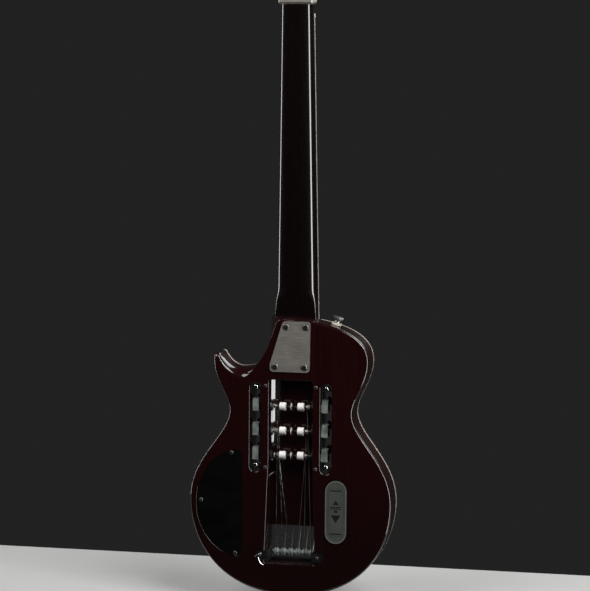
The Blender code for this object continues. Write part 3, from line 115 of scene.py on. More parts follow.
# Tuners, rollers and strings
POST_ROWS = (190.1, 221.3, 252.5)
POST_Y = BACK + 9.7
ROLLER_Y = BACK + 31.0
ROLLER_AXIS_Z = TAIL + 50.0
ROLLER_PITCH = 9.3
ROLLER_GROOVE_R = 3.6
WINDING_R = 2.3
STRING_ROWS = (1, 0, -1, -1, 0, 1)
ROW_ENTRY_X = (17.2, 17.8, 19.0)
NUT_SPREAD = 35.5
BRIDGE_SPREAD = 50.5
STRING_AT_NUT = 1.0
STRING_AT_SADDLE = 3.4
STRING_HOLE_DEPTH = 2.0
BALL_SEAT = 3.7
THINNEST_WOUND = 0.5
RAIL_X = 32.5
RAIL_SCREW_Z = (174.9, 279.2)
HOUSING_BELOW = 5.6
HOUSING_ABOVE = 10.2
HOUSING_TOP_DEPTH = 2.2
HOUSING_DEPTH = 15.7
HOUSING_CORNER = 2.4
# Nearest and farthest side of the housings from the middle, for the treble row and the bass row
HOUSING_SPANS = {-1: (41.6, 49.4), 1: (39.1, 47.6)}
DRUM_INNER = 7.7
DRUM_R = 5.3
DISC_R = 4.9
TIP_R = 1.2
WINDING_END = 15.7
POST_R = 3.0
GEAR_START = 43.6
GEAR_T = 4.0
GEAR_R = 5.0
GEAR_TEETH = 14
GEAR_TOOTH = 0.7
WORM_OFFSET = 7.4
WORM_R = 2.1
COLLAR_NUT_R = 6.2
COLLAR_NUT_T = 2.6
ROLLER_R = 4.9
ROLLER_HALF = 2.7
SLEEVE_R = 2.9
SLEEVE_HALF = 4.35
AXLE_R = 2.0

# Tuner cavity, hand slots and string channel
CAVITY_HALF = 28.2
CAVITY_TOP_Z = 287.3
CAVITY_END_Z = 166.3
CAVITY_DEPTH = 22.0
CHANNEL_DEPTH = 26.0
CAVITY_CORNER = 3.0
RAIL_OUTER = 38.3
SLOT_X = 45.6
SLOT_Z = 226.0
SLOT_W = 14.6
SLOT_LENGTH = 114.4
LUG_DEPTH = 2.2
LUG_SCREW_R = 3.0
CHANNEL_END_HALF = 33.0
CHANNEL_END_Z = 52.0
CHANNEL_TOP_Z = 174.3
TAIL_SLOT_HALF = 31.4
TAIL_SLOT_TOP_Z = 97.5
COLLAR_R = 4.6

# Pockets and holes for the fittings
PICKUP_Z = 148.5
ROUT_W = 72.5
ROUT_L = 41.0
ROUT_DEPTH = 12.5
COVER_X = 62.5
COVER_Z = 127.5
COVER_W = 59.4
COVER_HALF = 69.0
COVER_CORNER = 9.0
COVER_LIP = 6.0
COVER_T = 2.0
CONTROL_TOP_T = 7.0
BATTERY_X = 59.8
BATTERY_Z = 121.5
BATTERY_POCKET = (23.1, 73.95, 32.7)
COPPER_BAND = (131.0, 150.0)
WING_REACH = 43.4
WING_H = 12.0
HANGER_T = 2.0
STUD_X = 37.0
STUD_BUSH_R = 5.6
STUD_BUSH_DEPTH = 16.0
KNOB_X = 88.0
KNOB_Z = (157.5, 105.5)
POT_BUSH_R = 4.4
JACK_FLANGE_R = 12.0
JACK_FLANGE_T = 1.8
JACK_R = 8.8
JACK_LENGTH = 26.0
SCREW_R = 2.1
BUTTON_SCREW_R = 2.0
BUTTON_SCREW_DEPTH = 22.0


def mm(length):
    return length / MM


def size_of(name, default, about, low=0.0):
    """A length property that is shown in the scene's units and written in millimetres."""
    return FloatProperty(name=name, description=about, default=default * MM, min=low * MM, precision=5,
                         subtype="DISTANCE", unit="LENGTH")


def colour_of(name, default, about):
    return FloatVectorProperty(name=name, description=about, default=default, size=3, min=0.0, max=1.0,
                               subtype="COLOR")


class FinishColours(bpy.types.PropertyGroup):
    body_lacquer: colour_of("Body lacquer", (0.0120, 0.0013, 0.0016), "Dark cherry lacquer of the body")
    neck_lacquer: colour_of("Neck lacquer", (0.0034, 0.0013, 0.0013), "Darker cherry lacquer of the neck")
    board_wood: colour_of("Fingerboard wood", (0.035, 0.017, 0.011), "Oiled rosewood of the fingerboard")
    binding: colour_of("Binding", (0.56, 0.49, 0.41), "Aged cream of the binding")
    pearl: colour_of("Inlay pearl", (0.62, 0.62, 0.56), "Pale pearl of the fret markers")
    satin_plate: colour_of("Satin metal", (0.66, 0.62, 0.56), "Brushed metal of the neck plate and headpiece")
    chrome: colour_of("Chrome", (0.74, 0.74, 0.73), "Polished plating of the small fittings")
    tuner_grey: colour_of("Tuner metal", (0.26, 0.285, 0.26), "Satin plating of the tuner housings")
    tuner_dark: colour_of("Tuner plate", (0.020, 0.024, 0.021), "Darker plate and collars of the tuners")
    dark_steel: colour_of("Dark steel", (0.060, 0.058, 0.056), "Darkened steel of posts and small screws")
    roller_grey: colour_of("Roller grey", (0.30, 0.33, 0.31), "Satin plating of the string rollers")
    drum_white: colour_of("Tuner drum", (0.78, 0.76, 0.73), "White drums of the tuner posts")
    cover_black: colour_of("Cover black", (0.0011, 0.0011, 0.0012), "Matte plastic of the control cover")
    lid_grey: colour_of("Battery lid grey", (0.056, 0.062, 0.056), "Moulded plastic of the battery lid")


class FretworkSizes(bpy.types.PropertyGroup):
    fret_width: size_of("Fret width", 2.3, "Width of a fret's crown")
    fret_height: size_of("Fret height", 1.05, "Height of a fret above the board")
    binding_width: size_of("Binding width", 1.5, "Width of the board's binding")
    side_dot: size_of("Side dot radius", 1.0, "Radius of the markers in the binding")
    inlay_length: size_of("Inlay length", 15.0, "Longest length of a block inlay")


class StringSizes(bpy.types.PropertyGroup):
    gauges: FloatVectorProperty(name="Gauges", description="Thickness of the strings, from the highest",
                                default=[0.25 * MM, 0.33 * MM, 0.43 * MM, 0.66 * MM, 0.91 * MM, 1.17 * MM],
                                size=6, subtype="XYZ_LENGTH", unit="LENGTH", precision=5)
    plain_turns: IntProperty(name="Plain turns", description="Turns of a plain string on its post",
                             default=13, min=3, max=30)
    wound_turns: IntProperty(name="Wound turns", description="Turns of a wound string on its post",
                             default=4, min=2, max=8)
    barrel_radius: size_of("Barrel radius", 6.3, "Outer radius of a plain string's turns")


class FittingSizes(bpy.types.PropertyGroup):
    plate_screw: size_of("Neck screw radius", 4.2, "Head radius of the neck screws")
    small_screw: size_of("Small screw radius", 2.4, "Head radius of the cover and rail screws")
    pole_piece: size_of("Pole piece radius", 2.3, "Head radius of the pickup's pole screws")


class StageSettings(bpy.types.PropertyGroup):
    azimuth: FloatProperty(name="Azimuth", description="Camera's turn from the back towards the bass side",
                           default=math.radians(12.05), subtype="ANGLE", unit="ROTATION")
    elevation: FloatProperty(name="Elevation", description="Camera's height angle",
                             default=math.radians(5.33), subtype="ANGLE", unit="ROTATION")
    roll: FloatProperty(name="Roll", description="Camera's tilt about its view",
                        default=math.radians(0.49), subtype="ANGLE", unit="ROTATION")
    distance: FloatProperty(name="Distance", description="From the camera to the point it looks at",
                            default=2.9909, min=0.5, subtype="DISTANCE", unit="LENGTH")
    focal_length: FloatProperty(name="Focal length", description="Lens in millimetres on a 36 mm sensor",
                                default=143.85, min=10.0)
    lamp_level: FloatProperty(name="Lamp level", description="Multiplies the power of every lamp",
                              default=0.6, min=0.0)
    backdrop: colour_of("Backdrop", (0.45, 0.45, 0.445), "Pale paper of the floor")


class GuitarLooks(bpy.types.PropertyGroup):
    colours: PointerProperty(type=FinishColours)
    fretwork: PointerProperty(type=FretworkSizes)
    strings: PointerProperty(type=StringSizes)
    fittings: PointerProperty(type=FittingSizes)
    stage: PointerProperty(type=StageSettings)


def looks():
    return bpy.context.scene.guitar_looks


def colour(name):
    return (*getattr(looks().colours, name), 1.0)


class Finish:
    """A material that grows node by node. Textures are laid out in millimetres of the guitar at rest."""

    def __init__(self, name):
        self.material = bpy.data.materials.new(name)
        self.material.use_nodes = True
        self.tree = self.material.node_tree
        self.shader = self.tree.nodes["Principled BSDF"]

    def add(self, kind, inputs=None, **settings):
        node = self.tree.nodes.new(kind)
        for key, value in settings.items():
            setattr(node, key, value)
        for key, value in (inputs or {}).items():
            self.feed(node.inputs[key], value)
        return node

    def feed(self, socket, value):
        if isinstance(value, bpy.types.NodeSocket):
            self.tree.links.new(value, socket)
        else:
            socket.default_value = value

    def shade(self, **sockets):
        """Sets or links the shader's sockets, named with underscores."""
        for key, value in sockets.items():
            self.feed(self.shader.inputs[SHADER_SOCKETS[key]], value)
        return self.material

    def stretched(self, x, y, z):
        """Object coordinates with so many texture units in a millimetre along each axis."""
        place = self.add("ShaderNodeTexCoord").outputs["Object"]
        scale = (x / MM, y / MM, z / MM)
        return self.add("ShaderNodeMapping", {"Vector": place, "Scale": scale}).outputs["Vector"]

    def noise(self, vector, detail=3.0, roughness=0.5, scale=1.0):
        inputs = {"Vector": vector, "Scale": scale, "Detail": detail, "Roughness": roughness}
        return self.add("ShaderNodeTexNoise", inputs).outputs["Fac"]

    def spread(self, value, low, high, start=0.3, end=0.7):
        """Maps a texture's value from start..end to low..high."""
        inputs = {"Value": value, "From Min": start, "From Max": end, "To Min": low, "To Max": high}
        return self.add("ShaderNodeMapRange", inputs).outputs["Result"]

    def mixed(self, amount, first, second):
        node = self.add("ShaderNodeMix", {0: amount}, data_type="RGBA")
        self.feed(node.inputs[6], first)
        self.feed(node.inputs[7], second)
        return node.outputs[2]

    def toned(self, value, base, dark=0.7, light=1.3, start=0.3, end=0.7):
        """The base colour made darker and lighter by a texture's value."""
        low = tuple(min(1.0, c * dark) for c in base[:3]) + (1.0,)
        high = tuple(min(1.0, c * light) for c in base[:3]) + (1.0,)
        return self.mixed(self.spread(value, 0.0, 1.0, start, end), low, high)

    def bumps(self, height, depth, strength=1.0):
        inputs = {"Height": height, "Distance": depth * MM, "Strength": strength}
        return self.add("ShaderNodeBump", inputs).outputs["Normal"]

    def reach(self, axis):
        """Distance from the guitar's middle plane along an axis, in millimetres."""
        place = self.add("ShaderNodeTexCoord").outputs["Object"]
        part = self.add("ShaderNodeSeparateXYZ", {0: place}).outputs[axis]
        size = self.add("ShaderNodeMath", {0: part}, operation="ABSOLUTE").outputs[0]
        return self.add("ShaderNodeMath", {0: size, 1: 1 / MM}, operation="MULTIPLY").outputs[0]

    def sum_of(self, first, second):
        return self.add("ShaderNodeMath", {0: first, 1: second}, operation="ADD").outputs[0]

    def between(self, value, low, high):
        above = self.add("ShaderNodeMath", {0: value, 1: low}, operation="GREATER_THAN").outputs[0]
        below = self.add("ShaderNodeMath", {0: value, 1: high}, operation="LESS_THAN").outputs[0]
        return self.add("ShaderNodeMath", {0: above, 1: below}, operation="MULTIPLY").outputs[0]


SHADER_SOCKETS = {
    "base": "Base Color", "metal": "Metallic", "rough": "Roughness", "bump": "Normal", "ior": "IOR",
    "specular": "Specular IOR Level", "coat": "Coat Weight", "coat_rough": "Coat Roughness",
    "coat_bump": "Coat Normal",
}


# Heights between which painted shade darkens the lacquer towards the tail
SHADED_HEIGHTS = (60, 210)


def lacquered(name, base):
    """Gloss lacquer over mahogany: short pores and long fibres under a clear, slightly wavy coat, with
    painted shade darkening it towards the tail.
    """
    finish = Finish(name)
    fibres = finish.noise(finish.stretched(0.9, 0.9, 0.02), detail=5.0, roughness=0.62)
    clouds = finish.noise(finish.stretched(0.012, 0.012, 0.006), detail=2.0)
    wood = finish.toned(fibres, base, 0.72, 1.35)
    wood = finish.mixed(finish.spread(clouds, 0.0, 0.35), wood, tuple(c * 0.6 for c in base[:3]) + (1.0,))
    # Painted shade: the wood colour is mixed towards a darker red below the shaded heights, darkest at the
    # tail
    height = finish.add("ShaderNodeSeparateXYZ", {0: finish.stretched(1, 1, 1)}).outputs[2]
    wood = finish.mixed(finish.spread(height, 0.55, 0.0, *SHADED_HEIGHTS), wood,
                        (0.0035, 0.0016, 0.0016, 1.0))
    waves = finish.noise(finish.stretched(0.06, 0.06, 0.06), detail=1.0)
    return finish.shade(base=wood, rough=finish.spread(fibres, 0.34, 0.46), specular=0.03,
                        bump=finish.bumps(fibres, 0.02, 0.4), coat=1.0, coat_rough=0.045,
                        coat_bump=finish.bumps(waves, 0.03, 0.5))


@functools.cache
def body_lacquer():
    return lacquered("body_lacquer", colour("body_lacquer"))


@functools.cache
def neck_lacquer():
    return lacquered("neck_lacquer", colour("neck_lacquer"))


@functools.cache
def rosewood():
    """Oiled rosewood with dark streaks and open pores along the neck."""
    finish = Finish("rosewood")
    streaks = finish.noise(finish.stretched(0.35, 0.35, 0.012), detail=6.0, roughness=0.6)
    pores = finish.noise(finish.stretched(3.2, 3.2, 0.16), detail=2.0)
    wood = finish.toned(streaks, colour("board_wood"), 0.45, 1.9)
    wood = finish.mixed(finish.spread(pores, 0.0, 0.8, 0.58, 0.72), wood, (0.006, 0.004, 0.003, 1.0))
    return finish.shade(base=wood, rough=finish.spread(pores, 0.42, 0.62),
                        bump=finish.bumps(pores, 0.04, 0.5))


@functools.cache
def cream_binding():
    """Aged celluloid with faint cloudiness under the lacquer."""
    finish = Finish("cream_binding")
    clouds = finish.noise(finish.stretched(0.12, 0.12, 0.04), detail=3.0)
    return finish.shade(base=finish.toned(clouds, colour("binding"), 0.88, 1.08), rough=0.3, coat=0.6,
                        coat_rough=0.08, bump=finish.bumps(clouds, 0.01))


@functools.cache
def inlay_pearl():
    """Pearl with swirled bands."""
    finish = Finish("inlay_pearl")
    vector = finish.stretched(0.16, 0.16, 0.1)
    swirl = finish.add("ShaderNodeTexWave",
                       {"Vector": vector, "Scale": 1.0, "Distortion": 6.0, "Detail": 2.0})
    base = finish.mixed(swirl.outputs["Fac"], colour("pearl"), (0.42, 0.47, 0.45, 1.0))
    return finish.shade(base=base, rough=finish.spread(swirl.outputs["Fac"], 0.16, 0.3), coat=0.5,
                        coat_rough=0.05)


@functools.cache
def side_dot_black():
    finish = Finish("side_dot_black")
    grain = finish.noise(finish.stretched(1.5, 1.5, 1.5))
    return finish.shade(base=finish.toned(grain, (0.012, 0.012, 0.012), 0.8, 1.4), rough=0.32, coat=0.5,
                        coat_rough=0.1)


@functools.cache
def satin_metal():
    """Brushed metal with fine lines across the guitar and softer blotches."""
    finish = Finish("satin_metal")
    lines = finish.noise(finish.stretched(0.05, 0.4, 6.0), detail=4.0, roughness=0.7)
    blotches = finish.noise(finish.stretched(0.07, 0.07, 0.07), detail=3.0)
    base = finish.toned(blotches, colour("satin_plate"), 0.88, 1.1)
    return finish.shade(base=base, metal=1.0, rough=finish.spread(lines, 0.3, 0.5),
                        bump=finish.bumps(lines, 0.012, 0.7))


@functools.cache
def chrome():
    """Polished plating with faint smears."""
    finish = Finish("chrome")
    smears = finish.noise(finish.stretched(0.25, 0.25, 0.25), detail=4.0, roughness=0.6)
    return finish.shade(base=finish.toned(smears, colour("chrome"), 0.94, 1.03), metal=1.0,
                        rough=finish.spread(smears, 0.06, 0.16))


@functools.cache
def dull_steel():
    """Darkened steel of the small screws, rubbed bright on its high spots."""
    finish = Finish("dull_steel")
    rubbed = finish.noise(finish.stretched(0.8, 0.8, 0.8), detail=4.0, roughness=0.6)
    return finish.shade(base=finish.toned(rubbed, colour("dark_steel"), 1.0, 3.4), metal=0.8,
                        rough=finish.spread(rubbed, 0.3, 0.44))


@functools.cache
def roller_plating():
    """Satin plating with fine lines that run round each roller."""
    finish = Finish("roller_plating")
    lines = finish.noise(finish.stretched(7.0, 0.1, 0.1), detail=3.0)
    return finish.shade(base=finish.toned(lines, colour("roller_grey"), 0.8, 1.15), metal=0.3,
                        specular=0.3, rough=finish.spread(lines, 0.5, 0.62),
                        bump=finish.bumps(lines, 0.01, 0.5))


def tumbled_metal(name, base):
    """Satin plating with a fine tumbled surface, rubbed brighter in patches."""
    finish = Finish(name)
    tumbled = finish.noise(finish.stretched(2.2, 2.2, 2.2), detail=3.0)
    wear = finish.noise(finish.stretched(0.12, 0.12, 0.12), detail=4.0, roughness=0.6)
    return finish.shade(base=finish.toned(wear, base, 0.75, 1.25), metal=1.0,
                        rough=finish.spread(wear, 0.5, 0.66), bump=finish.bumps(tumbled, 0.03, 0.6))


@functools.cache
def housing_metal():
    return tumbled_metal("housing_metal", colour("tuner_grey"))


@functools.cache
def plate_metal():
    return tumbled_metal("plate_metal", colour("tuner_dark"))


@functools.cache
def post_finish():
    """Dark steel posts with white drums and end discs, told apart by their distance from the middle."""
    finish = Finish("post_finish")
    drum = finish.sum_of(finish.between(finish.reach(0), DRUM_INNER - 0.2, WINDING_END + 0.2),
                         finish.between(finish.reach(0), 0, 0.8))
    marks = finish.noise(finish.stretched(0.5, 0.5, 0.5), detail=3.0)
    white = finish.toned(marks, colour("drum_white"), 0.93, 1.02)
    steel = finish.toned(marks, colour("dark_steel"), 0.7, 1.5)
    metal = finish.add("ShaderNodeMath", {0: 1.0, 1: drum}, operation="SUBTRACT").outputs[0]
    return finish.shade(base=finish.mixed(drum, steel, white), metal=metal,
                        rough=finish.spread(marks, 0.3, 0.42))


@functools.cache
def plain_string_steel():
    finish = Finish("plain_string_steel")
    drawn = finish.noise(finish.stretched(1.2, 1.2, 0.06), detail=3.0)
    return finish.shade(base=finish.toned(drawn, (0.30, 0.30, 0.29), 0.8, 1.1), metal=1.0,
                        rough=finish.spread(drawn, 0.22, 0.36))


@functools.cache
def wound_string_steel():
    """Nickel winding: fine rings along the string."""
    finish = Finish("wound_string_steel")
    rings = finish.add("ShaderNodeTexWave", {"Vector": finish.stretched(0, 0, 1.0), "Scale": 0.8},
                       wave_type="BANDS", bands_direction="Z", wave_profile="SIN").outputs["Fac"]
    tarnish = finish.noise(finish.stretched(0.4, 0.4, 0.03), detail=3.0)
    base = finish.toned(tarnish, (0.40, 0.385, 0.36), 0.78, 1.12)
    return finish.shade(base=base, metal=1.0, rough=finish.spread(tarnish, 0.3, 0.44),
                        bump=finish.bumps(rings, 0.06, 0.8))


@functools.cache
def cover_black():
    """Matte plastic with a fine moulded grain."""
    finish = Finish("cover_black")
    grain = finish.noise(finish.stretched(1.6, 1.6, 1.6), detail=4.0, roughness=0.6)
    scuffs = finish.noise(finish.stretched(0.03, 0.03, 0.05), detail=4.0)
    return finish.shade(base=finish.toned(scuffs, colour("cover_black"), 0.8, 1.4), specular=0.04,
                        rough=finish.spread(scuffs, 0.5, 0.64), bump=finish.bumps(grain, 0.035, 0.6))


@functools.cache
def blackened_metal():
    """Black plated steel of the roller hanger, rubbed brighter in places."""
    finish = Finish("blackened_metal")
    rubbed = finish.noise(finish.stretched(0.22, 0.22, 0.22), detail=5.0, roughness=0.65)
    base = finish.mixed(finish.spread(rubbed, 0.0, 1.0, 0.5, 0.75), (0.004, 0.004, 0.0045, 1.0),
                        (0.03, 0.03, 0.03, 1.0))
    return finish.shade(base=base, metal=0.4, specular=0.2, rough=finish.spread(rubbed, 0.55, 0.4, 0.4, 0.7))


def moulded_grey(name, base, rough):
    """Moulded grey-green plastic with a spark-eroded texture."""
    finish = Finish(name)
    speckle = finish.noise(finish.stretched(2.4, 2.4, 2.4), detail=3.0, roughness=0.6)
    clouds = finish.noise(finish.stretched(0.05, 0.05, 0.05), detail=3.0)
    return finish.shade(base=finish.toned(clouds, base, 0.85, 1.15), specular=0.3,
                        rough=finish.spread(speckle, rough, rough + 0.14),
                        bump=finish.bumps(speckle, 0.03, 0.5))


@functools.cache
def lid_grey():
    return moulded_grey("lid_grey", colour("lid_grey"), 0.4)


@functools.cache
def painted_highlight_rim():
    """The lid's plastic, painted pale along its rim as a highlight."""
    # Painted highlight: the rim's colour is the lid's grey made about twice as bright
    return moulded_grey("painted_highlight_rim", tuple(min(1.0, c * 2.1) for c in colour("lid_grey")), 0.28)


@functools.cache
def marking_ink():
    finish = Finish("marking_ink")
    grain = finish.noise(finish.stretched(1.8, 1.8, 1.8), detail=3.0)
    return finish.shade(base=finish.toned(grain, (0.007, 0.008, 0.007), 0.7, 1.4), specular=0.2, rough=0.5)


@functools.cache
def bone():
    finish = Finish("bone")
    grain = finish.noise(finish.stretched(0.25, 0.9, 0.9), detail=4.0)
    return finish.shade(base=finish.toned(grain, (0.60, 0.55, 0.44), 0.9, 1.07),
                        rough=finish.spread(grain, 0.3, 0.42), bump=finish.bumps(grain, 0.015))


@functools.cache
def board_green():
    """Coated circuit board with raised traces."""
    finish = Finish("board_green")
    cells = finish.add("ShaderNodeTexBrick", {
        "Vector": finish.stretched(0.14, 0.14, 0.14), "Scale": 1.0, "Mortar Size": 0.05,
        "Color1": (0.012, 0.07, 0.03, 1.0), "Color2": (0.015, 0.09, 0.035, 1.0),
        "Mortar": (0.03, 0.16, 0.06, 1.0),
    })
    return finish.shade(base=cells.outputs["Color"], rough=0.32,
                        bump=finish.bumps(cells.outputs["Fac"], 0.04))


@functools.cache
def battery_case():
    """Printed battery jacket: dark with a copper band towards its contacts, and no lettering."""
    finish = Finish("battery_case")
    height = finish.add("ShaderNodeSeparateXYZ", {0: finish.stretched(1, 1, 1)}).outputs[2]
    band = finish.between(height, *COPPER_BAND)
    rub = finish.noise(finish.stretched(0.3, 0.3, 0.3), detail=3.0)
    base = finish.mixed(band, finish.toned(rub, (0.02, 0.02, 0.025), 0.8, 1.3), (0.35, 0.16, 0.06, 1.0))
    return finish.shade(base=base, metal=0.5, rough=finish.spread(rub, 0.28, 0.4))


@functools.cache
def stage_paper():
    finish = Finish("stage_paper")
    fibre = finish.noise(finish.stretched(0.02, 0.02, 0.02), detail=3.0)
    base = finish.toned(fibre, (*looks().stage.backdrop, 1.0), 0.985, 1.015)
    return finish.shade(base=base, rough=0.9)


def node(name):
    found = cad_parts.get(name)
    if found is None:
        raise RuntimeError(f"the packed guitar has no node named {name}")
    return found


def node_span(name):
    """Lowest and highest corner of a node, in millimetres."""
    low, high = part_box(name)
    return low / MM, high / MM


def dress(finish, *names):
    """Gives CAD nodes a finish."""
    for name in names:
        for slot in node(name).material_slots:
            slot.material = finish


def add_piece(name, bm, finish, body="guitar", stands_for=(), sharp=35, level=False):
    """Turns a mesh in millimetres into a piece that rides on a body of the guitar.

    A level piece keeps its large flats evenly lit up to their rounded edges.
    """
    if not bm.faces:
        raise RuntimeError(f"{name} has no faces")
    bmesh.ops.recalc_face_normals(bm, faces=bm.faces[:])
    bmesh.ops.scale(bm, vec=(MM, MM, MM), verts=bm.verts[:])
    mesh = bpy.data.meshes.new(name)
    bm.to_mesh(mesh)
    bm.free()
    mesh.shade_smooth()
    mesh.set_sharp_from_angle(angle=math.radians(sharp))
    mesh.materials.append(finish)
    piece = bpy.data.objects.new(name, mesh)
    bpy.context.scene.collection.objects.link(piece)
    if level:
        piece.modifiers.new("level", "WEIGHTED_NORMAL").keep_sharp = True
    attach(piece, body)
    if stands_for:
        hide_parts(*stands_for)


def skin(bm, rings, closed=False):
    """Faces between rings of points with equal counts, with a cap on each end unless closed."""
    rows = [[bm.verts.new(point) for point in ring] for ring in rings]
    count = len(rows[0])
    pairs = list(zip(rows, rows[1:]))
    if closed:
        pairs.append((rows[-1], rows[0]))
    for first, second in pairs:
        for i in range(count):
            j = (i + 1) % count
            bm.faces.new((first[i], first[j], second[j], second[i]))
    if not closed:
        bm.faces.new(rows[0][::-1])
        bm.faces.new(rows[-1])


def axis_frame(centre, axis):
    """A frame at a centre with its Z along an axis."""
    return Matrix.Translation(centre) @ Vector(axis).to_track_quat("Z", "Y").to_matrix().to_4x4()


def circle(radius, height, sides, start=0.0):
    return [Vector((radius * math.cos(start + TURN * i / sides),
                    radius * math.sin(start + TURN * i / sides), height)) for i in range(sides)]


def turned(bm, centre, axis, profile, sides=32):
    """A turned solid from (distance along its axis, radius) pairs."""
    place = axis_frame(centre, axis)
    skin(bm, [[place @ point for point in circle(radius, along, sides)] for along, radius in profile])


def prism(bm, outline, y0, y1):
    """A plate from an outline of (x, z) points between two depths."""
    skin(bm, [[Vector((x, y, z)) for x, z in outline] for y in (y0, y1)])


def block(bm, low, high):
    outline = [(low[0], low[2]), (high[0], low[2]), (high[0], high[2]), (low[0], high[2])]
    prism(bm, outline, low[1], high[1])


def soften(bm, width, segments=2, angle=30.0):
    """Rounds every edge that is sharper than an angle."""
    sharp = [edge for edge in bm.edges if len(edge.link_faces) == 2
             and edge.calc_face_angle(0.0) > math.radians(angle)]
    bmesh.ops.bevel(bm, geom=sharp, offset=width, segments=segments, profile=0.5, affect="EDGES",
                    clamp_overlap=True)


def arc(cx, cz, radius, start, end, steps):
    """Points of an arc from one angle to another, in degrees."""
    angles = [math.radians(start + (end - start) * i / steps) for i in range(steps + 1)]
    return [(cx + radius * math.cos(a), cz + radius * math.sin(a)) for a in angles]


def stadium(cx, cz, width, length, steps=16):
    """A slot outline with round ends, upright."""
    radius = width / 2
    straight = length / 2 - radius
    return arc(cx, cz + straight, radius, 0, 180, steps) + arc(cx, cz - straight, radius, 180, 360, steps)


def rounded_rectangle(cx, cz, width, length, radius, steps=5):
    x, z = width / 2 - radius, length / 2 - radius
    corners = ((x, z, 0), (-x, z, 90), (-x, -z, 180), (x, -z, 270))
    return [point for dx, dz, start in corners
            for point in arc(cx + dx, cz + dz, radius, start, start + 90, steps)]


def band(bm, outer, inner, y0, y1):
    """A flat frame between two outlines with equal counts."""
    rings = [[Vector((x, y, z)) for x, z in outline] for outline, y in
             ((outer, y0), (outer, y1), (inner, y1), (inner, y0))]
    skin(bm, rings, closed=True)


def tube(bm, points, radius, sides=8):
    """A tube along points, with each ring turned as little as possible from the last."""
    points = [Vector(point) for point in points]
    directions = []
    for i, point in enumerate(points):
        before, after = points[max(i - 1, 0)], points[min(i + 1, len(points) - 1)]
        directions.append((after - before).normalized())
    across = directions[0].orthogonal().normalized()
    rings = []
    for i, (point, direction) in enumerate(zip(points, directions)):
        if i:
            across = directions[i - 1].rotation_difference(direction) @ across
        beside = direction.cross(across)
        rings.append([point + radius * (across * math.cos(TURN * k / sides)
                                        + beside * math.sin(TURN * k / sides)) for k in range(sides)])
    skin(bm, rings)


def cross_head(bm, centre, axis, radius, rise, turn=0.4, sunk=0.0, depth=0.9):
    """A domed screw head with a cross recess. Its rim lies at the centre's level less what it is sunk."""
    place = axis_frame(centre, axis) @ Matrix.Rotation(turn, 4, "Z")
    arm, half = radius * 0.62, radius * 0.13

    def cross(scale, height):
        corner = []
        for number in range(4):
            spin = Matrix.Rotation(TURN * number / 4, 4, "Z")
            for x, y in ((half, half), (arm * scale * 0.6, half), (arm * scale, half), (arm * scale, 0),
                         (arm * scale, -half), (arm * scale * 0.6, -half)):
                corner.append(spin @ Vector((x, y, height)))
        return corner

    start = TURN / 8
    rings = [circle(radius * 0.9, -sunk - 0.6, 24, start), circle(radius, -sunk, 24, start)]
    for share in (0.35, 0.7, 1.0):
        angle = share * math.pi / 2
        reach = radius * (0.72 + 0.28 * math.cos(angle))
        rings.append(circle(reach, -sunk + rise * math.sin(angle), 24, start))
    rings = [ring[::-1] for ring in rings]
    top = -sunk + rise
    rings.append(cross(1.0, top)[::-1])
    rings.append(cross(0.7, top - depth)[::-1])
    skin(bm, [[place @ point for point in ring] for ring in rings])


def slotted_head(bm, centre, axis, radius, rise, turn=0.0):
    """A flat screw head with a straight slot, made of two half discs on a base."""
    place = axis_frame(centre, axis) @ Matrix.Rotation(turn, 4, "Z")
    slot = radius * 0.14
    skin(bm, [[place @ point for point in circle(radius, height, 24)] for height in (-0.4, rise * 0.45)])
    for side in (1, -1):
        start = math.asin(slot / radius)
        half = [Vector((radius * math.cos(a), side * radius * math.sin(a), 0)) for a in
                [start + (math.pi - 2 * start) * i / 12 for i in range(13)]]
        skin(bm, [[place @ (point + Vector((0, 0, height))) for point in half]
                  for height in (rise * 0.4, rise)])


def fret_run(number):
    """Distance of a fret below the nut."""
    return SCALE_LENGTH * (1 - 2 ** (-number / 12))


def neck_width(run):
    return NUT_WIDTH + (LAST_FRET_WIDTH - NUT_WIDTH) * run / fret_run(FRETS)


def run_at(height):
    """Distance below the nut at a height above the body's end."""
    return (NUT_Z - TAIL - height) / math.cos(TILT)


def on_neck(x, rise, run):
    """A point by its place on the neck: across, above the board's edge line and below the nut."""
    return NECK_FRAME @ Vector((x, rise, -run))


def pocket_thickness(run):
    board_back = NUT_Y + run * math.sin(TILT) - BOARD_T * math.cos(TILT)
    return (board_back - (FRONT - POCKET_DEPTH + GAP)) / math.cos(TILT)


def heel_blend(run):
    return min(1.0, max(0.0, (run - run_at(BODY_LENGTH) + HEEL_FLARE) / HEEL_FLARE))


def neck_thickness(run):
    shaft = NECK_T_NUT + (NECK_T_TWELFTH - NECK_T_NUT) * max(0.0, run) / fret_run(12)
    blend = heel_blend(run)
    blend = blend * blend * (3 - 2 * blend)
    return shaft + (pocket_thickness(run) - shaft) * blend


def neck_section(run, upright=False, steps=32):
    """The neck below its board: round like a D along the neck and square at the heel."""
    half, depth = neck_width(run) / 2, neck_thickness(run)
    power = 2.3 + 21.0 * heel_blend(run) ** 2
    section = []
    for i in range(steps + 1):
        angle = math.pi * i / steps
        across, below = math.cos(angle), math.sin(angle)
        rise = -BOARD_T - depth * abs(below) ** (2 / power)
        along = rise * math.tan(TILT) if upright else 0
        section.append(on_neck(half * math.copysign(abs(across) ** (2 / power), across), rise, run + along))
    return section


def board_rise(x):
    """Height of the round board over its edge line, which lies at its middle."""
    return math.sqrt(BOARD_RADIUS ** 2 - x ** 2) - BOARD_RADIUS


SHOULDER = (31.0, BODY_LENGTH - 3.9)
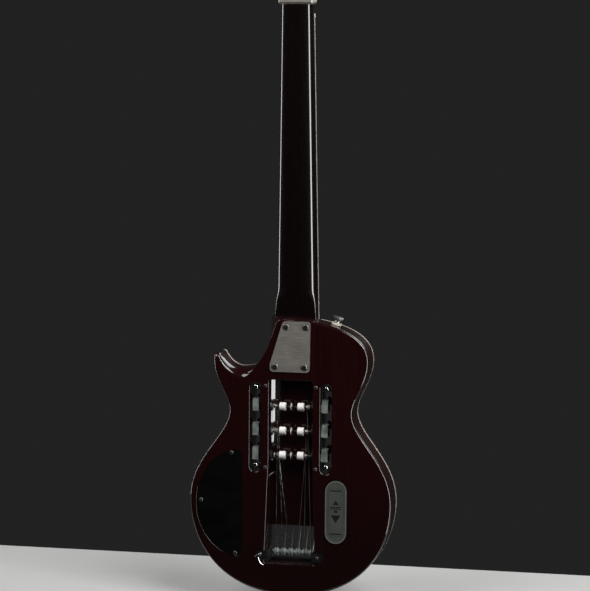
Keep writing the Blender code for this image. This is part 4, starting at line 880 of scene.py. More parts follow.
# Knots of the outline, counterclockwise from the tail as seen from the back: its place, the handle before it,
# the handle after it and the number of points to the next knot
OUTLINE_KNOTS = (
    ((0, 0), (-90, 0), (90, 0), 54),
    ((LOWER_BOUT_HALF, LOWER_BOUT_Z), (0, -60), (0, 53), 40),
    ((WAIST_HALF, WAIST_Z), (0, -31), (0, 20), 24),
    ((UPPER_BOUT_HALF, UPPER_BOUT_Z), (0, -27.5), (0, 30.6), 36),
    (SHOULDER, (35.4, -6.1), (-9, 1.6), 12),
    ((0, BODY_LENGTH), (10, 0), (-10, 0), 12),
    ((5 - NECK_SIDE_X, BODY_LENGTH), (8, 0), (-2.8, 0), 8),
    ((-NECK_SIDE_X, BODY_LENGTH - 5), (0, 2.8), (0, -7), 10),
    ((-NECK_SIDE_X, BODY_LENGTH - 30), (0, 7), (0, -24), 30),
    ((-CUTAWAY_X, CUTAWAY_Z), (20, 0), (-13, 0), 26),
    ((-92.3, HORN_TIP_Z), (3.4, -6.4), (-1.5, 2.8), 10),
    ((-HORN_X, HORN_TIP_Z - 2.5), (0, 4.2), (0, -2), 6),
    ((-HORN_X, 297.0), (0, 2), (0, -22.5), 22),
    ((-WAIST_HALF, WAIST_Z), (0, 16.5), (0, -31), 40),
    ((-LOWER_BOUT_HALF, LOWER_BOUT_Z), (0, 53), (0, -60), 54),
)
NECK_SIDE_KNOT = 4
TONGUE_KNOT = 6
BINDING_START_KNOT = 7
HORN_OUTER_KNOT = 12
# Knots that differ on the flat of the back, where the cutaway is scooped for the hand
BACK_EDGE_KNOTS = {
    6: ((-14.6, BODY_LENGTH - EDGE_R + 1), (6, 0), (-2, 0)),
    7: ((-19.4, BODY_LENGTH - 6), (0.6, 2), (-1.5, -5)),
    8: ((-28.6, BODY_LENGTH - 34.5), (1.8, 8), (-5, -12)),
    9: ((6 - CUTAWAY_X, CUTAWAY_Z - 11.7), (11, 4), (-17, 0)),
    10: ((6.4 - HORN_X, HORN_TIP_Z - 6), (3.6, -8), (-0.6, 1.4)),
    11: ((EDGE_R - HORN_X, HORN_TIP_Z - 6.5), (0.6, 1.6), (-0.2, -1.5)),
}
SCOOP_DEPTHS = {6: 34.0, 7: 34.0, 8: 30.0, 9: 16.0, 10: 8.0}
# How far the scoop's round section gives way to a straight slope, and how far in and how deep the points
# of the small fillet at the slope's edge lie
SCOOP_SLOPES = {6: 1.0, 7: 1.0, 8: 0.8, 9: 0.3}
EDGE_FILLET = ((1.2, 0.0), (0.55, 0.1), (0.1, 0.45))


def knot_curve(knots):
    points = []
    for (place, _, leave, steps), (end, arrive, _, _) in zip(knots, knots[1:] + knots[:1]):
        place, end = Vector(place), Vector(end)
        points += interpolate_bezier(place, place + Vector(leave), end + Vector(arrive), end, steps + 1)[:-1]
    return points


def knot_index(number):
    return sum(knot[3] for knot in OUTLINE_KNOTS[:number])


def inset(outline, distance):
    """A counterclockwise outline moved inwards."""
    moved = []
    for i, point in enumerate(outline):
        ahead = (outline[(i + 1) % len(outline)] - point).normalized()
        along = (ahead + (point - outline[i - 1]).normalized()).normalized()
        moved.append(point + Vector((-along.y, along.x)) * distance / max(along.dot(ahead), 0.5))
    return moved


def back_edge(outline):
    """The edge of the flat back: the outline less its edge radius, but scooped by knots of its own."""
    edge = inset(outline, EDGE_R)
    knots = []
    for i, (place, before, after, steps) in enumerate(OUTLINE_KNOTS):
        if i:
            place = edge[knot_index(i)]
        knots.append((*BACK_EDGE_KNOTS.get(i, (place, before, after)), steps))
    first, end = knot_index(TONGUE_KNOT - 1) + 1, knot_index(HORN_OUTER_KNOT)
    return edge[:first] + knot_curve(tuple(knots))[first:end] + edge[end:]


def along_outline(at_knots, otherwise, reach=5):
    """A value at each point of the outline, led from knot to knot and averaged over its neighbours."""
    values = []
    for i, knot in enumerate(OUTLINE_KNOTS):
        here, there = (at_knots.get(number, otherwise) for number in (i, i + 1))
        values += [here + (there - here) * step / knot[3] for step in range(knot[3])]
    around = values[-reach:] + values + values[:reach]
    return [sum(around[i:i + 2 * reach + 1]) / (2 * reach + 1) for i in range(len(values))]


def quarter(steps, radius=1.0):
    """Pairs (what is left outside, depth) along a quarter round from a flat to a wall."""
    angles = [math.pi / 2 * i / steps for i in range(steps + 1)]
    return [(radius * (1 - math.sin(a)), radius * (1 - math.cos(a))) for a in angles]


def body_solid():
    """The body before its pockets: a flat back, the rounded and scooped edge, and a ledge for the binding."""
    outline = knot_curve(OUTLINE_KNOTS)
    flat, slopes = back_edge(outline), along_outline(SCOOP_SLOPES, 0.0)
    stations = list(zip(outline, flat, along_outline(SCOOP_DEPTHS, EDGE_R), slopes))
    rings = [[Vector((*point, depth * slope)) for point, slope in zip(inset(flat, inward), slopes)]
             for inward, depth in EDGE_FILLET]
    for i, (out, down) in enumerate(quarter(EDGE_STEPS)[1:], 1):
        ring, share = [], i / EDGE_STEPS
        for wall, edge, depth, slope in stations:
            left = out + (1 - share - out) * slope
            ring.append(Vector((*(wall + (edge - wall) * left), depth * (down + (share - down) * slope))))
        rings.append(ring)
    seat, ledge = inset(outline, BINDING_T + GAP), BODY_T - BINDING_H
    for points, depth in ((outline, ledge), (seat, ledge), (seat, BODY_T)):
        rings.append([Vector((*point, depth)) for point in points])
    bm = bmesh.new()
    skin(bm, [[Vector((x, BACK + depth, TAIL + z)) for x, z, depth in ring] for ring in rings])
    return bm


def rounded_outline(corners, radius, steps=6):
    """A convex counterclockwise polygon with each corner rounded."""
    points = []
    corners = [Vector(corner) for corner in corners]
    for before, here, after in zip(corners[-1:] + corners, corners, corners[1:] + corners[:1]):
        back, on = (before - here).normalized(), (after - here).normalized()
        half = back.angle(on) / 2
        centre = here + (back + on).normalized() * radius / math.sin(half)
        first = math.degrees(math.atan2(-back.x, back.y))
        points += arc(*centre, radius, first - 180, first - 2 * math.degrees(half), steps)
    return points


def pocket(outline, depth, lip=0.0):
    """A cutter into the back with a rounded mouth. One deeper than the body rounds the front as well."""
    outline = [Vector(point) for point in outline]
    mouth = [(lip, -OVERCUT)] + (quarter(6, lip) if lip else [])
    levels = mouth + [(0.0, depth)]
    if depth > BODY_T:
        levels = mouth + [(grow, BODY_T - level) for grow, level in mouth[::-1]]
    bm = bmesh.new()
    skin(bm, [[Vector((x, BACK + level, z)) for x, z in inset(outline, -grow)] for grow, level in levels])
    return bm


def front_pocket(outline, depth):
    bm = bmesh.new()
    prism(bm, outline, FRONT - depth, FRONT + OVERCUT)
    return bm


def corners_of(x0, x1, z0, z1):
    return [(x0, z0), (x1, z0), (x1, z1), (x0, z1)]


def cover_outline(grow=0.0):
    """The control cover: part of an ellipse with a straight inner side and rounded corners."""
    start = math.acos(-COVER_CORNER / COVER_W)
    angles = [start + 2 * (math.pi - start) * i / 40 for i in range(41)]
    bow = [(COVER_W * math.cos(a), COVER_HALF * math.sin(a)) for a in angles]
    top = bow[0][1] - COVER_CORNER
    points = (arc(-COVER_CORNER, top, COVER_CORNER, 0, 75, 8) + bow
              + arc(-COVER_CORNER, -top, COVER_CORNER, -75, 0, 8))
    return inset([Vector((x - COVER_X, z + COVER_Z)) for x, z in points], -grow)


def upper_button_seat():
    """Place and outward direction of the upper strap button on the shoulder."""
    number = round(knot_index(3) + 0.79 * OUTLINE_KNOTS[3][3])
    outline = knot_curve(OUTLINE_KNOTS)
    along = (outline[number + 1] - outline[number - 1]).normalized()
    place = outline[number]
    return Vector((place.x, 0, TAIL + place.y)), Vector((along.y, 0, -along.x))


def body_holes():
    """Every round hole of the body: neck screws, bridge studs, potentiometers, strap buttons and the jack."""
    bm = bmesh.new()
    for x, z in PLATE_SCREWS:
        turned(bm, (x, BACK, z), (0, 1, 0), [(-OVERCUT, SCREW_R + GAP), (BODY_T, SCREW_R + GAP)], 16)
    for x in (-STUD_X, STUD_X):
        radius = STUD_BUSH_R + GAP
        turned(bm, (x, FRONT, TAIL + SADDLE_Z), (0, -1, 0),
               [(-OVERCUT, radius), (STUD_BUSH_DEPTH + GAP, radius)], 24)
    for z in KNOB_Z:
        radius = POT_BUSH_R + GAP
        turned(bm, (-KNOB_X, FRONT, z), (0, -1, 0),
               [(-OVERCUT, radius), (CONTROL_TOP_T + OVERCUT, radius)], 24)
    seat, normal = upper_button_seat()
    screw = [(-OVERCUT, BUTTON_SCREW_R + GAP), (BUTTON_SCREW_DEPTH + GAP, BUTTON_SCREW_R + GAP)]
    turned(bm, seat, -normal, screw, 12)
    turned(bm, (0, 0, TAIL), (0, 0, 1), screw, 12)
    step = JACK_FLANGE_T + 1 + GAP
    turned(bm, (-LOWER_BOUT_HALF, 0, TAIL + LOWER_BOUT_Z), (1, 0, 0),
           [(-OVERCUT, JACK_FLANGE_R + GAP), (step, JACK_FLANGE_R + GAP), (step, JACK_R + GAP),
            (JACK_LENGTH + GAP, JACK_R + GAP)], 32)
    return bm


def body_cutters():
    """All that is routed and bored into the body, in the order of the cuts."""
    top, end = run_at(BODY_LENGTH + 20), run_at(BODY_LENGTH - HEEL_LENGTH) + GAP
    heel = [(side * (neck_width(run) / 2 + GAP), NUT_Z - run * math.cos(TILT))
            for side, run in ((-1, end), (1, end), (1, top), (-1, top))]
    cutters = [front_pocket(heel, POCKET_DEPTH)]
    cutters += [pocket(stadium(side * SLOT_X, SLOT_Z, SLOT_W, SLOT_LENGTH), BODY_T + OVERCUT, LIP_R)
                for side in (-1, 1)]
    half, reach = (SLOT_LENGTH - SLOT_W) / 2, SLOT_X
    cutters.append(pocket(corners_of(-reach, reach, SLOT_Z - half, SLOT_Z + half), CAVITY_DEPTH))
    cavity = corners_of(-CAVITY_HALF, CAVITY_HALF, CAVITY_END_Z, CAVITY_TOP_Z)
    cutters.append(pocket(rounded_outline(cavity, CAVITY_CORNER), CAVITY_DEPTH, LIP_R))
    wide = CAVITY_HALF + GAP
    channel = [(-CHANNEL_END_HALF, CHANNEL_END_Z), (CHANNEL_END_HALF, CHANNEL_END_Z), (wide, CHANNEL_TOP_Z),
               (-wide, CHANNEL_TOP_Z)]
    cutters.append(pocket(rounded_outline(channel, 2.5), CHANNEL_DEPTH, LIP_R))
    slot = corners_of(-TAIL_SLOT_HALF, TAIL_SLOT_HALF, CHANNEL_END_Z, TAIL_SLOT_TOP_Z)
    cutters.append(front_pocket(rounded_outline(slot, 0.6, 3), BODY_T))
    low, high = ROLLER_AXIS_Z - WING_H / 2 - GAP, ROLLER_AXIS_Z + WING_H / 2 + GAP
    cutters.append(pocket(corners_of(-WING_REACH - GAP, WING_REACH + GAP, low, high), HANGER_T + GAP))
    cutters.append(front_pocket(corners_of(-ROUT_W / 2, ROUT_W / 2, PICKUP_Z - ROUT_L / 2,
                                           PICKUP_Z + ROUT_L / 2), ROUT_DEPTH))
    cutters.append(pocket(cover_outline(GAP), COVER_T + GAP, 0.5))
    cutters.append(pocket(cover_outline(-COVER_LIP), BODY_T - CONTROL_TOP_T))
    width, length, depth = BATTERY_POCKET
    cutters.append(pocket(stadium(BATTERY_X, BATTERY_Z, width, length), depth))
    cutters.append(body_holes())
    return cutters


def carved(solid, cutters):
    """A solid less its cutters, by exact Booleans."""
    items = []
    for bm in [solid] + cutters:
        bmesh.ops.recalc_face_normals(bm, faces=bm.faces[:])
        mesh = bpy.data.meshes.new("carving")
        bm.to_mesh(mesh)
        bm.free()
        items.append(bpy.data.objects.new("carving", mesh))
        bpy.context.scene.collection.objects.link(items[-1])
    for tool in items[1:]:
        modifier = items[0].modifiers.new("cut", "BOOLEAN")
        modifier.operation, modifier.solver, modifier.object = "DIFFERENCE", "EXACT", tool
    result = bmesh.new()
    result.from_object(items[0], bpy.context.evaluated_depsgraph_get())
    for item in items:
        mesh = item.data
        bpy.data.objects.remove(item)
        bpy.data.meshes.remove(mesh)
    return result


def top_binding():
    """The binding round the front edge, with its outer corner scraped round."""
    outline = knot_curve(OUTLINE_KNOTS)
    inner = inset(outline, BINDING_T)
    order = (list(range(knot_index(BINDING_START_KNOT), len(outline)))
             + list(range(knot_index(NECK_SIDE_KNOT) + 1)))
    low = BODY_T - BINDING_H + GAP
    rings = []
    for i in order:
        section = [(1.0, low), (0.0, low)]
        section += [(out / BINDING_T, BODY_T - down) for out, down in quarter(3, 0.6)[::-1]] + [(1.0, BODY_T)]
        points = [outline[i].lerp(inner[i], share).to_tuple() + (depth,) for share, depth in section]
        rings.append([Vector((x, BACK + depth, TAIL + z)) for x, z, depth in points])
    bm = bmesh.new()
    skin(bm, rings)
    return bm


def tuner_rail(side):
    """The strip between a hand slot and the cavity, rounded along its back and bored for three posts."""
    half = (SLOT_LENGTH - SLOT_W) / 2 - GAP
    floor = CAVITY_DEPTH - GAP
    section = [(RAIL_OUTER, floor), (CAVITY_HALF, floor)]
    section += (arc(CAVITY_HALF + LIP_R, LIP_R, LIP_R, 180, 270, 6)
                + arc(RAIL_OUTER - LIP_R, LIP_R, LIP_R, 270, 360, 6))
    bm, bores = bmesh.new(), bmesh.new()
    skin(bm, [[Vector((side * x, BACK + depth, z)) for x, depth in section]
              for z in (SLOT_Z - half, SLOT_Z + half)])
    for row in POST_ROWS:
        turned(bores, (0, POST_Y, row), (side, 0, 0), [(CAVITY_HALF - OVERCUT, COLLAR_R + GAP),
                                                       (RAIL_OUTER + OVERCUT, COLLAR_R + GAP)], 24)
    return carved(bm, [bores])


# The cove starts at a height and reaches its full size a growth higher
COVE_START_Z = 178
COVE_GROWTH = 52
COVE_HEIGHTS = (181, 200, 216, 230, 250, CAVITY_TOP_Z - 0.05)
# The cove's profile from the wall to the floor: a steep flat, a step and a second flat
COVE_PROFILE = ((0, -6.2), (4.43, -2.6), (5.6, -3.5), (10.6, 0))


def cove_section(height):
    """The cavity's treble wall curves into its floor, less and less towards the rollers."""
    share = min(1.0, max(0.1, (height - COVE_START_Z) / COVE_GROWTH))
    wall, floor = -CAVITY_HALF, BACK + CAVITY_DEPTH
    points = [Vector((wall + share * x, floor + share * y, height)) for x, y in COVE_PROFILE]
    return points + [Vector((wall + share * 4.0, floor + 0.3, height)),
                     Vector((wall - 0.3, floor + 0.3, height))]


class GUITAR_OT_body(bpy.types.Operator):
    """Carve and lacquer the body and its rails, and bind the top"""

    bl_idname = "guitar.body"
    bl_label = "Body"

    def execute(self, context):
        add_piece("carved_body", carved(body_solid(), body_cutters()), body_lacquer(),
                  stands_for=("body",), level=True)
        add_piece("bound_top", top_binding(), cream_binding(),
                  stands_for=("top_binding",), sharp=50)
        for side, name in ((-1, "left"), (1, "right")):
            add_piece(f"bored_rail_{name}", tuner_rail(side), body_lacquer(),
                      stands_for=(f"tuner_rail_{name}",), level=True)
        bm = bmesh.new()
        skin(bm, [cove_section(height) for height in COVE_HEIGHTS])
        add_piece("cavity_cove", bm, body_lacquer(), sharp=15)
        return {"FINISHED"}


class GUITAR_OT_neck(bpy.types.Operator):
    """Carve the neck with its heel, and dress the nut and truss rod"""

    bl_idname = "guitar.neck"
    bl_label = "Neck"

    def execute(self, context):
        joint, end = run_at(BODY_LENGTH), run_at(BODY_LENGTH - HEEL_LENGTH)
        flare = [joint - HEEL_FLARE * (1 - i / 16) for i in range(17)]
        runs = [-HEAD_RUN + GAP] + [flare[0] * i / 6 for i in range(6)] + flare
        heel = [neck_section(run, upright=True) for run in ((joint + end) / 2, end)]
        bm = bmesh.new()
        skin(bm, [neck_section(run) for run in runs] + heel)
        add_piece("carved_neck", bm, neck_lacquer(), stands_for=("neck",), sharp=50)
        dress(bone(), "nut")
        dress(plate_metal(), "truss_rod")
        return {"FINISHED"}


def board_strip(bm, edges, across, low, high=0.0, runs=None):
    """A lengthwise strip of the board between two edges, as functions of the distance below the nut."""
    rings = []
    for run in runs or (GAP, fret_run(FRETS) + BOARD_END):
        left, right = edges(run)
        top = [left + (right - left) * i / across for i in range(across + 1)]
        ring = [on_neck(x, board_rise(x) + high, run) for x in top]
        rings.append(ring + [on_neck(right, low, run), on_neck(left, low, run)])
    skin(bm, rings)


def crowned_fret(bm, run, width, height):
    """A fret wire with a round crown, its ends filed at a slant."""
    half = neck_width(run) / 2 - 0.15
    stations = [(-half, 0.12), (-half + 0.8, 1.0)]
    stations += [(half * x / 4, 1.0) for x in (-3, -2, -1, 0, 1, 2, 3)]
    stations += [(half - 0.8, 1.0), (half, 0.12)]
    crown = [(-0.5, -0.25), (-0.43, 0.42), (-0.27, 0.82), (0, 1.0), (0.27, 0.82), (0.43, 0.42), (0.5, -0.25)]
    rings = [[on_neck(x, board_rise(x) + height * level * up if up > 0 else board_rise(x) - 0.25,
                      run + width * along) for along, up in crown] for x, level in stations]
    skin(bm, rings)


class GUITAR_OT_fingerboard(bpy.types.Operator):
    """Build the bound fingerboard with its frets, blocks and side dots"""

    bl_idname = "guitar.fingerboard"
    bl_label = "Fingerboard"

    def execute(self, context):
        sizes = looks().fretwork
        bound, dot = mm(sizes.binding_width), mm(sizes.side_dot)
        low = -BOARD_T + GAP
        bm = bmesh.new()
        board_strip(bm, lambda run: (bound - neck_width(run) / 2, neck_width(run) / 2 - bound), 16, low)
        add_piece("rosewood_board", bm, rosewood(), stands_for=("fingerboard",))
        bm = bmesh.new()
        for side in (-1, 1):
            board_strip(bm, lambda run: sorted((side * neck_width(run) / 2,
                                                side * (neck_width(run) / 2 - bound))), 2, low)
        soften(bm, 0.25, 2)
        add_piece("board_binding", bm, cream_binding())
        bm = bmesh.new()
        for number in range(1, FRETS + 1):
            crowned_fret(bm, fret_run(number), mm(sizes.fret_width), mm(sizes.fret_height))
        add_piece("fret_wires", bm, plain_string_steel(), sharp=60)
        blocks, dots = bmesh.new(), bmesh.new()
        for number in MARKED_FRETS:
            space = fret_run(number) - fret_run(number - 1)
            middle = fret_run(number) - space / 2
            length = min(mm(sizes.inlay_length), space * 0.62)
            board_strip(blocks, lambda run: (-0.31 * neck_width(run), 0.31 * neck_width(run)), 12, -1.0, 0.04,
                        (middle - length / 2, middle + length / 2))
            for step in ((-1, 1) if number == 12 else (0,)):
                run = middle + step * dot * 2.2
                turned(dots, on_neck(neck_width(run) / 2, -BOARD_T / 2, run), (1, 0, 0),
                       [(-0.4, dot), (0.04, dot), (0.06, dot * 0.8)], 20)
        add_piece("block_inlays", blocks, inlay_pearl())
        add_piece("side_dots", dots, side_dot_black())
        return {"FINISHED"}


class GUITAR_OT_headpiece(bpy.types.Operator):
    """Dress the string anchor at the end of the neck and set its clamp screws"""

    bl_idname = "guitar.headpiece"
    bl_label = "Headpiece"

    def execute(self, context):
        dress(satin_metal(), "headpiece")
        front = NECK_FRAME.to_3x3() @ Vector((0, 1, 0))
        bm = bmesh.new()
        for number in range(6):
            x = NUT_SPREAD * (number / 5 - 0.5)
            seat = on_neck(x, 4.2, -HEAD_RUN - HEAD_H * 0.42)
            turned(bm, seat, front, [(-0.4, 2.0), (0.5, 2.0), (0.8, 1.7), (0.8, 1.05), (0.1, 0.95)], 24)
        add_piece("clamp_screws", bm, cover_black())
        return {"FINISHED"}


PLATE_FACE = BACK - GAP - 1.5
PLATE_SCREWS = ((-6.4, 355.1), (19.0, 355.1), (-20.5, 304.3), (17.4, 304.3))


class GUITAR_OT_neck_plate(bpy.types.Operator):
    """Brush the neck plate and seat its four oval screws"""

    bl_idname = "guitar.neck_plate"
    bl_label = "Neck plate"

    def execute(self, context):
        dress(satin_metal(), "neck_plate")
        for number, (x, z) in enumerate(PLATE_SCREWS, 1):
            bm = bmesh.new()
            cross_head(bm, (x, PLATE_FACE, z), (0, -1, 0), mm(looks().fittings.plate_screw), 1.25,
                       turn=0.5 * number, sunk=0.15, depth=1.4)
            add_piece(f"oval_screw_{number}", bm, dull_steel(),
                      stands_for=(f"neck_screw_{number}",))
        return {"FINISHED"}


def post_profile(side, row, bm, profile, sides=40):
    """A turned solid on a post's axis, from (distance from the middle, radius) pairs."""
    turned(bm, (0, POST_Y, row), (side, 0, 0), profile, sides)


def gear_housings(side):
    """The three worm housings of a row: soft-cornered boxes, bored for gear and worm."""
    bm, bores = bmesh.new(), bmesh.new()
    near, far = HOUSING_SPANS[side]
    top = BACK + HOUSING_TOP_DEPTH
    x0, x1 = sorted((side * near, side * far))
    for row in POST_ROWS:
        block(bm, (x0, top, row - HOUSING_BELOW), (x1, top + HOUSING_DEPTH, row + HOUSING_ABOVE))
        post_profile(side, row, bores, [(near - OVERCUT, POST_R + GAP), (GEAR_START - GAP, POST_R + GAP),
                                        (GEAR_START - GAP, GEAR_R + GAP), (far + OVERCUT, GEAR_R + GAP)], 24)
        turned(bores, (side * SLOT_X, top, row + WORM_OFFSET), (0, 1, 0),
               [(1.0, WORM_R + GAP), (HOUSING_DEPTH + OVERCUT, WORM_R + GAP)], 20)
    soften(bm, HOUSING_CORNER, 4)
    return carved(bm, [bores])


def tuner_strip(side):
    """The plate behind a row of housings, with its round lugs, collars and collar nuts."""
    bm = bmesh.new()
    half = (SLOT_LENGTH - SLOT_W) / 2 + 1.0
    top = BACK + HOUSING_TOP_DEPTH
    inner = RAIL_OUTER + GAP
    x0, x1 = sorted((side * inner, side * (inner + 1.6)))
    gap = COLLAR_R - 0.2
    edges = [SLOT_Z - half] + [z for row in POST_ROWS for z in (row - gap, row + gap)] + [SLOT_Z + half]
    for low, high in zip(edges[::2], edges[1::2]):
        block(bm, (x0, top, low), (x1, top + HOUSING_DEPTH - 0.4, high))
    for end in (-1, 1):
        centre = SLOT_Z + end * (SLOT_LENGTH - SLOT_W) / 2
        radius = SLOT_W / 2 - 1.1
        lug = arc(side * SLOT_X, centre, radius, 0, end * 180, 16)
        lug = ([(side * SLOT_X + radius, centre - end * 2.0)] + lug
               + [(side * SLOT_X - radius, centre - end * 2.0)])
        prism(bm, lug, top, top + 2.0)
    nut = CAVITY_HALF - GAP - COLLAR_NUT_T
    for row in POST_ROWS:
        collar = [(nut, COLLAR_NUT_R - 0.5), (nut + 0.5, COLLAR_NUT_R), (CAVITY_HALF - GAP, COLLAR_NUT_R),
                  (CAVITY_HALF - GAP, COLLAR_R), (HOUSING_SPANS[side][0] + 0.5, COLLAR_R)]
        place = axis_frame((0, POST_Y, row), (side, 0, 0))
        rings = [circle(radius, along, 36) for along, radius in collar]
        rings += [circle(POST_R + GAP, along, 36) for along in (collar[-1][0], nut)]
        skin(bm, [[place @ point for point in ring] for ring in rings], closed=True)
    return bm


def geared_post(side, row):
    """End disc, tip, white drum, winding length and gear, in one piece on the post's axis."""
    bm = bmesh.new()
    shoulder = CAVITY_HALF - GAP - COLLAR_NUT_T - 0.6
    drum = [(DRUM_INNER, TIP_R)]
    drum += [(DRUM_INNER + out, DRUM_R - down) for out, down in quarter(4, 0.7)[::-1]]
    drum += [(WINDING_END - out, DRUM_R - down) for out, down in quarter(4, 0.7)]
    disc = [(0.6, DISC_R - 0.6), (0.75, DISC_R - 0.15), (1.0, DISC_R), (1.4, DISC_R - 0.2), (1.7, TIP_R)]
    post_profile(side, row, bm, disc + drum + [(WINDING_END, WINDING_R), (shoulder, WINDING_R),
                                               (shoulder, POST_R), (GEAR_START, POST_R)])
    place = axis_frame((0, POST_Y, row), (side, 0, 0))
    teeth = []
    for along in (GEAR_START, GEAR_START + GEAR_T):
        ring = []
        for i in range(GEAR_TEETH * 2):
            angle, radius = math.pi * i / GEAR_TEETH, GEAR_R - GEAR_TOOTH * (i % 2)
            ring.append(place @ Vector((radius * math.cos(angle), radius * math.sin(angle), along)))
        teeth.append(ring)
    skin(bm, teeth)
    return bm


class GUITAR_OT_tuners(bpy.types.Operator):
    """Dress the geared tuners and fasten their rails"""

    bl_idname = "guitar.tuners"
    bl_label = "Tuners"

    def execute(self, context):
        for side, name in ((-1, "left"), (1, "right")):
            add_piece(f"gear_housings_{name}", gear_housings(side), housing_metal(), sharp=50,
                      level=True, stands_for=(f"tuner_plate_{name}",))
            add_piece(f"tuner_strip_{name}", tuner_strip(side), plate_metal())
        for number, level in enumerate(STRING_ROWS, 1):
            add_piece(f"geared_post_{number}", geared_post(-1 if number < 4 else 1, POST_ROWS[level + 1]),
                      post_finish(), body=f"post_{number}", stands_for=(f"tuner_post_{number}",))
            dress(plate_metal(), f"tuner_key_{number}")
        screw = mm(looks().fittings.small_screw)
        bm = bmesh.new()
        for side in (-1, 1):
            for z in RAIL_SCREW_Z:
                cross_head(bm, (side * RAIL_X, BACK, z), (0, -1, 0), screw, 0.8, turn=side * z, depth=0.9)
        add_piece("rail_screws", bm, dull_steel())
        bm = bmesh.new()
        for side in (-1, 1):
            for end in (-1, 1):
                z = SLOT_Z + end * (SLOT_LENGTH - SLOT_W) / 2 + 1.5
                cross_head(bm, (side * SLOT_X, BACK + LUG_DEPTH, z), (0, -1, 0), LUG_SCREW_R, 1.3,
                           turn=0.5 + side * end, depth=1.3)
        add_piece("lug_screws", bm, chrome())
        return {"FINISHED"}


def string_route(number, gauge):
    """Points of a whole string: anchor, nut, saddle, round its roller and up to its post, then its turns."""
    side = -1 if number < 3 else 1
    level = STRING_ROWS[number] + 1
    row = POST_ROWS[level]
    on_roller = ROLLER_GROOVE_R + GAP + gauge / 2
    on_post = WINDING_R + GAP + gauge / 2
    across, up = ROLLER_Y - POST_Y, row - ROLLER_AXIS_Z
    lean = math.atan2(across, up) - math.asin((on_roller + on_post) / math.hypot(across, up))
    nut_x = NUT_SPREAD * (number / 5 - 0.5)
    anchors = ((-STRING_HOLE_DEPTH, -HEAD_RUN - HEAD_H + BALL_SEAT), (-STRING_HOLE_DEPTH, -HEAD_RUN),
               (STRING_AT_NUT + gauge / 2, -NUT_T), (STRING_AT_NUT + gauge / 2, 0))
    points = [on_neck(nut_x, rise, run) for rise, run in anchors]
    saddle = on_neck(BRIDGE_SPREAD * (number / 5 - 0.5), STRING_AT_SADDLE + gauge / 2, run_at(SADDLE_Z))
    points.append(saddle)
    offset = Vector((0, saddle.y - ROLLER_Y, saddle.z - ROLLER_AXIS_Z))
    first = math.atan2(offset.z, offset.y) - math.acos(on_roller / offset.length)
    last = -math.pi + lean
    roller_x = ROLLER_PITCH * (number - 2.5)
    for i in range(19):
        angle = first + (last - first) * i / 18
        points.append(Vector((roller_x, ROLLER_Y + on_roller * math.cos(angle),
                              ROLLER_AXIS_Z + on_roller * math.sin(angle))))
    entry = ROW_ENTRY_X[level]
    turns = (wound_turns(entry, on_post, gauge) if gauge > THINNEST_WOUND
             else plain_turns(entry, on_post, level))
    for turn, along, reach in turns:
        angle = -lean + TURN * turn
        points.append(Vector((side * along, POST_Y + reach * math.cos(angle), row + reach * math.sin(angle))))
    return points


def wound_turns(entry, on_post, gauge, steps=28):
    """Close turns side by side: (turns made, distance from the middle, radius)."""
    count = looks().strings.wound_turns
    return [(i / steps, entry + (gauge + 0.06) * i / steps, on_post) for i in range(count * steps + 1)]


def plain_turns(entry, on_post, level, steps=20):
    """A loose barrel: the turns run out and back along the post while they swell."""
    settings = looks().strings
    share = (0.45, 1.0, 1.0)[level]
    count = max(3, round(settings.plain_turns * share))
    outer = on_post + (mm(settings.barrel_radius) - on_post) * share
    travel = 7.6 * (0.5 + share / 2)
    turns = []
    for i in range(count * steps + 1):
        done = i / (count * steps)
        sweep = 0.5 - 0.5 * math.cos(3 * math.pi * done)
        ripple = 0.18 * math.sin(9.3 * i / steps)
        turns.append((i / steps, entry + travel * sweep, on_post + (outer - on_post) * done + ripple * done))
    return turns


# A string's ball end as (distance along the string, radius)
BALL_PROFILE = [(-0.2, 0.8), (0.2, 1.8), (2.6, 1.8), (3.0, 1.4), (3.0, 0.7), (2.2, 0.6)]


class GUITAR_OT_strings(bpy.types.Operator):
    """String the guitar from the headpiece round the rollers to the posts"""

    bl_idname = "guitar.strings"
    bl_label = "Strings"

    def execute(self, context):
        up = NECK_FRAME.to_3x3() @ Vector((0, 0, 1))
        for number, thickness in enumerate(looks().strings.gauges):
            gauge = mm(thickness)
            route = string_route(number, gauge)
            bm = bmesh.new()
            tube(bm, route, gauge / 2, 10 if gauge > THINNEST_WOUND else 8)
            turned(bm, route[0], up, BALL_PROFILE, 16)
            steel = wound_string_steel() if gauge > THINNEST_WOUND else plain_string_steel()
            add_piece(f"strung_{number + 1}", bm, steel,
                      stands_for=(f"string_{number + 1}",), sharp=60)
        return {"FINISHED"}


EARTH_WIRE_R = 0.4
HANGER_SCREWS = ((-38.4, 61.5), (35.6, 61.5))
# Bare earth wires as (x, depth below the back, z) points: on the hanger's wing, and over the cavity's step
EARTH_WIRES = (
    ((-45.2, -0.4, 59.6), (-41.0, -0.7, 62.6), (-36.0, -0.6, 65.0)),
    ((-40.6, -0.6, 60.0), (-39.4, -0.7, 55.6), (-37.0, -0.6, 51.6), (-33.8, -0.4, 49.2)),
    ((-28.6, 1.0, 161.8), (-27.4, 8.0, 164.4), (-24.0, 15.5, 166.4), (-18.6, 21.2, 167.2)),
)


def smooth_route(points, steps=8):
    """A curve through points, with each point's direction set by its neighbours."""
    slopes = [(points[min(i + 1, len(points) - 1)] - points[max(i - 1, 0)]) / 6 for i in range(len(points))]
    route = points[:1]
    for i in range(len(points) - 1):
        route += interpolate_bezier(points[i], points[i] + slopes[i], points[i + 1] - slopes[i + 1],
                                    points[i + 1], steps + 1)[1:]
    return route


